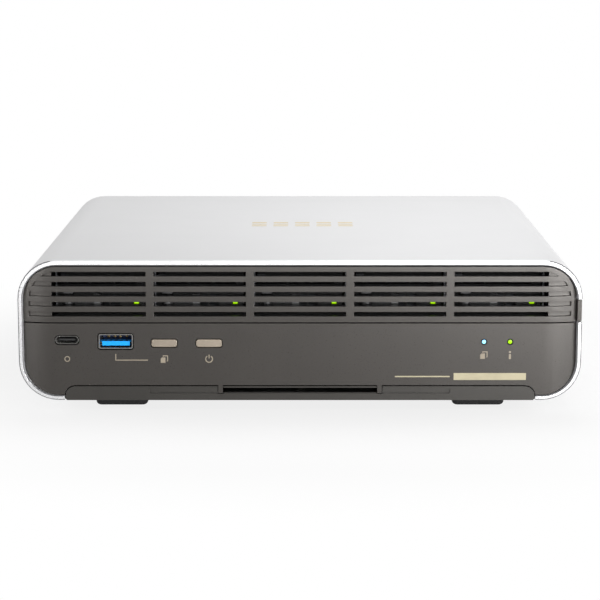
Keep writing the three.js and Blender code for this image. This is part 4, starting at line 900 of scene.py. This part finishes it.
def state_mark(x, z):
    """A dot over a short bar"""
    across = around(x, STATE_WIDTH)
    return [rounded(across, (z + low, z + high), STATE_CORNER) for low, high in (STATE_DOT, STATE_BAR)]


def port_mark(x, z):
    """A small ring, as a plain sign for a data port"""
    return [ring((x, z), (PORT_RADIUS - STROKE, PORT_RADIUS), 0, RING_END, MARK_STEPS)]


def link_mark(x, z, reach):
    """A thin line from under one socket to the button beside it"""
    corner = z - LINK_FALL
    half = STROKE / 2
    return [
        [
            (x - half, z),
            (x + half, z),
            (x + half, corner + half),
            (reach, corner + half),
            (reach, corner - half),
            (x - half, corner - half),
        ]
    ]


def make_lens_rings():
    """A ring of painted shade around each of the two lamps"""
    loops = [
        ring((middle(node).x, middle(node).z), LENS_RING, 0, RING_END, LENS_RING_STEPS)
        for node in ("copy_light_pipe", "status_light_pipe")
    ]
    place_piece(prism("lens_rings", loops, on_front), body_of["front_bezel"], "painted_shade_black")


def make_marks():
    port = middle("front_usb_c_shell")
    socket = middle("front_usb_a_shell")
    copy = middle("copy_button")
    power = middle("power_button")
    copying = middle("copy_light_pipe")
    status = middle("status_light_pipe")
    level = power.z - MARK_DROP
    light_level = status.z - LIGHT_MARK_DROP
    loops = [
        *port_mark(port.x, level),
        *link_mark(socket.x, socket.z - LINK_START, copy.x - LINK_GAP),
        *copy_mark(copy.x, level),
        *power_mark(power.x, level),
        *copy_mark(copying.x, light_level),
        *state_mark(status.x, light_level),
    ]
    marks = prism("bezel_marks", loops, on_front)
    place_piece(marks, body_of["front_bezel"], "print_beige")


def make_label():
    """A bare gold label, with a thin line that leads up to it"""
    label = rounded(LABEL_SPAN, around(LABEL_LEVEL, LABEL_HEIGHT), LABEL_CORNER)
    line = rounded(LABEL_LINE_SPAN, around(LABEL_LEVEL, LABEL_LINE_HEIGHT), LABEL_CORNER)
    piece = prism("bezel_label", [label, line], on_front)
    place_piece(piece, body_of["front_bezel"], "print_gold")


# Bays


BAYS = (1, 2, 3, 4, 5)
CAGE_ROUNDING = 0.0001
TRAY_ROUNDING = 0.00015
LEVER_ROUNDING = 0.0002
BAY_LENS_ROUNDING = 0.0002
DRIVE_ROUNDING = 0.0003
LEVER_GRIP_LENGTH = 0.0031
TRAY_FACE_SETBACK = 0.00035
TRAY_EDGE_WIDTH = 0.0006
TRAY_EDGE_DEPTH = 0.0006
TRAY_EDGE_PROUD = 0.0001
TRAY_EDGE_LIFT = 0.0007
TRAY_EDGE_ROUNDING = 0.0001


def make_tray_edges(bay):
    """Bright cut edges of sheet at both sides of a tray's face"""
    node = f"drive_tray_{bay}"
    low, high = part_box(node)
    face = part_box(f"bay_light_pipe_{bay}")[0][1] + TRAY_FACE_SETBACK
    depths = (face - TRAY_EDGE_PROUD, face + TRAY_EDGE_DEPTH)
    levels = (low[2] + TRAY_EDGE_LIFT, high[2] - TRAY_EDGE_LIFT)
    left = (low[0], low[0] + TRAY_EDGE_WIDTH)
    right = (high[0] - TRAY_EDGE_WIDTH, high[0])
    boxes = [(side, depths, levels) for side in (left, right)]
    slabs(
        f"tray_edges_{bay}", boxes, TRAY_EDGE_ROUNDING, body_of[node], "tray_zinc"
    )


def make_lever(bay):
    """A tray's lever with a lighter grip at its free end"""
    node = f"tray_lever_{bay}"
    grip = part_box(node)[1][0] - LEVER_GRIP_LENGTH
    repaint(dressed(node, LEVER_ROUNDING), "lever_tip", lambda face: face.center.x > grip)


def make_bays():
    dressed("drive_cage", CAGE_ROUNDING)
    dressed("backplane_board", CAGE_ROUNDING)
    for bay in BAYS:
        dressed(f"drive_tray_{bay}", TRAY_ROUNDING)
        make_tray_edges(bay)
        make_lever(bay)
        dressed(f"bay_light_pipe_{bay}", BAY_LENS_ROUNDING)
        dressed(f"flash_drive_{bay}", DRIVE_ROUNDING)


# Rear and inside


SOCKET_ROUNDING = 0.00015
SOCKET_RIM_DEPTH = 0.0005
SOCKET_FACE_DEPTH = 0.0035
FAN_FRAME_ROUNDING = 0.0003
FAN_ROTOR_ROUNDING = 0.00015
BOARD_ROUNDING = 0.0001


def make_rear():
    """Sockets with black insides and a blue tongue in the stacked one, then fans and boards"""
    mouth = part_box("network_port_1")[1][1]

    def is_inside(face):
        return face.center.y < mouth - SOCKET_RIM_DEPTH

    def is_tongue(face):
        depth = mouth - face.center.y
        return SOCKET_RIM_DEPTH < depth < SOCKET_FACE_DEPTH and face.normal.y > FLAT_SHARE

    dressed("power_jack", SOCKET_ROUNDING)
    for node in ("rear_usb_c_port", "rear_usb_a_port", "video_port", "network_port_1", "network_port_2"):
        socket = dressed(node, SOCKET_ROUNDING)
        repaint(socket, "black_plastic", is_inside)
        if node == "rear_usb_a_port":
            repaint(socket, "blue_plastic", is_tongue)
    for fan in (1, 2):
        dressed(f"fan_frame_{fan}", FAN_FRAME_ROUNDING)
        dressed(f"fan_rotor_{fan}", FAN_ROTOR_ROUNDING)
    for node in ("main_board", "front_board", "processor_heat_sink", "reset_button"):
        dressed(node, BOARD_ROUNDING)


NETWORK_WIRES = 8
NETWORK_WIRE_PITCH = 0.00102
NETWORK_WIRE_WIDTH = 0.00035
NETWORK_WIRE_FROM = 0.009
NETWORK_WIRE_TO = 0.003
NETWORK_WIRE_DROP = 0.0027
NETWORK_WIRE_LEVELS = (0.0009, 0.0005)
NETWORK_WIRE_ROUNDING = 0.0001


def make_network_contacts():
    """Eight sprung wires in each network socket"""
    below, above = NETWORK_WIRE_LEVELS
    for node in ("network_port_1", "network_port_2"):
        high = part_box(node)[1]
        centre = middle(node).x
        top = high[2] - NETWORK_WIRE_DROP
        wires = contact_row(
            [centre + x for x in evenly(NETWORK_WIRES, NETWORK_WIRE_PITCH)],
            NETWORK_WIRE_WIDTH,
            (high[1] - NETWORK_WIRE_FROM, high[1] - NETWORK_WIRE_TO),
            (top - below, top - above),
        )
        name = f"{node}_contacts"
        slabs(name, wires, NETWORK_WIRE_ROUNDING, body_of[node], "contact_gold")


# Stage: floor, lamps, world and camera


FLOOR_SIZE = 40
FLOOR_SELF_SHARE = 0.82
FLOOR_FADE = (0.1, 0.25)
WORLD_LIGHT = 0.08


def combined(tree, operation, first, second):
    """One value made of two"""
    node = tree.nodes.new("ShaderNodeMath")
    node.operation = operation
    tree.links.new(first, node.inputs[0])
    tree.links.new(second, node.inputs[1])
    return node.outputs[0]


def floor_fade(tree):
    """How far the floor is white of itself: less near the middle, where the shadow falls"""
    where = tree.nodes.new("ShaderNodeTexCoord")
    away = tree.nodes.new("ShaderNodeVectorMath")
    away.operation = "LENGTH"
    tree.links.new(where.outputs["Object"], away.inputs[0])
    fade = tree.nodes.new("ShaderNodeMapRange")
    fade.interpolation_type = "SMOOTHSTEP"
    near, far = FLOOR_FADE
    fade.inputs["From Min"].default_value = near
    fade.inputs["From Max"].default_value = far
    fade.inputs["To Min"].default_value = FLOOR_SELF_SHARE
    fade.inputs["To Max"].default_value = 1
    tree.links.new(away.outputs["Value"], fade.inputs["Value"])
    return fade.outputs["Result"]


def floor_look():
    """Matt white, and partly white of itself to the camera and in reflections"""
    material = bpy.data.materials.new("floor_white")
    material.use_nodes = True
    tree = material.node_tree
    matt = tree.nodes["Principled BSDF"]
    matt.inputs["Base Color"].default_value = (1, 1, 1, 1)
    matt.inputs["Roughness"].default_value = 1
    matt.inputs["Specular IOR Level"].default_value = 0
    white = tree.nodes.new("ShaderNodeEmission")
    rays = tree.nodes.new("ShaderNodeLightPath").outputs
    seen = combined(tree, "MAXIMUM", rays["Is Camera Ray"], rays["Is Glossy Ray"])
    mix = tree.nodes.new("ShaderNodeMixShader")
    tree.links.new(combined(tree, "MULTIPLY", seen, floor_fade(tree)), mix.inputs["Fac"])
    tree.links.new(matt.outputs[0], mix.inputs[1])
    tree.links.new(white.outputs[0], mix.inputs[2])
    tree.links.new(mix.outputs[0], tree.nodes["Material Output"].inputs["Surface"])
    return material


def make_floor():
    """A white floor that keeps a soft shadow"""
    mesh = bmesh.new()
    bmesh.ops.create_grid(mesh, x_segments=1, y_segments=1, size=FLOOR_SIZE / 2)
    floor = new_object("floor", mesh)
    floor.data.materials.append(floor_look())


def make_world():
    """White to the camera and in reflections, and a soft even light elsewhere"""
    world = bpy.data.worlds.new("studio")
    bpy.context.scene.world = world
    world.use_nodes = True
    tree = world.node_tree
    background = tree.nodes["Background"]
    background.inputs["Color"].default_value = (1, 1, 1, 1)
    rays = tree.nodes.new("ShaderNodeLightPath").outputs
    seen = combined(tree, "MAXIMUM", rays["Is Camera Ray"], rays["Is Glossy Ray"])
    seen = combined(tree, "MAXIMUM", seen, rays["Is Transmission Ray"])
    level = tree.nodes.new("ShaderNodeMapRange")
    level.inputs["To Min"].default_value = WORLD_LIGHT
    level.inputs["To Max"].default_value = 1
    tree.links.new(seen, level.inputs["Value"])
    tree.links.new(level.outputs["Result"], background.inputs["Strength"])


# Each lamp's place, the point that it faces, its size and its power. In front of the enclosure
# all but the faint softbox stay lower than its lid, so that they don't glare on it from behind.
LAMPS = {
    "key_right": ((0.3, -0.85, 0.035), (0.02, -0.1, 0.03), (0.35, 0.045), 4.3),
    "top_softbox": ((0.1, 0.35, 1.0), (0, 0, 0.05), (1.0, 0.8), 2.85),
    "lid_softbox": ((0.08, 0.05, 0.3), (0.08, 0.0, 0.06), (0.15, 0.2), 0.39),
    "front_softbox": ((0.1, -1.4, 0.6), (0, -0.1, 0.03), (0.8, 0.5), 0.3),
    "near_strip": ((0.32, -0.42, 0.03), (0.08, -0.1, 0.03), (0.2, 0.05), 0.45),
    "right_fill": ((0.5, -0.6, 0.035), (0.08, -0.1, 0.03), (0.2, 0.05), 1.35),
    "left_fill": ((-0.5, -0.7, 0.035), (-0.05, -0.1, 0.03), (0.2, 0.05), 1.1),
    "low_strip": ((0.0, -0.18, 0.052), (0, -0.1, 0.04), (0.4, 0.012), 0.065),
}


def make_lamps():
    for name, (place, target, size, power) in LAMPS.items():
        data = bpy.data.lights.new(name, "AREA")
        data.shape = "RECTANGLE"
        data.size, data.size_y = size
        data.energy = power
        lamp = bpy.data.objects.new(name, data)
        lamp.location = place
        lamp.visible_camera = False
        aim = Vector(target) - Vector(place)
        lamp.rotation_euler = aim.to_track_quat("-Z", "Y").to_euler()
        bpy.context.scene.collection.objects.link(lamp)


def make_camera():
    data = bpy.data.cameras.new("camera")
    data.lens = CAMERA_LENS
    data.sensor_width = CAMERA_SENSOR
    camera = bpy.data.objects.new("camera", data)
    camera.location = CAMERA_PLACE
    camera.rotation_euler = (CAMERA_TILT, 0, 0)
    bpy.context.scene.collection.objects.link(camera)
    bpy.context.scene.camera = camera


make_camera()
make_world()
make_lamps()
make_floor()
make_casing()
make_feet()
make_screws()
make_controls()
make_usb_a_contacts()
make_usb_c_springs()
make_lens_rings()
make_marks()
make_label()
make_bays()
make_rear()
make_network_contacts()
bpy.context.scene.view_settings.view_transform = "Standard"
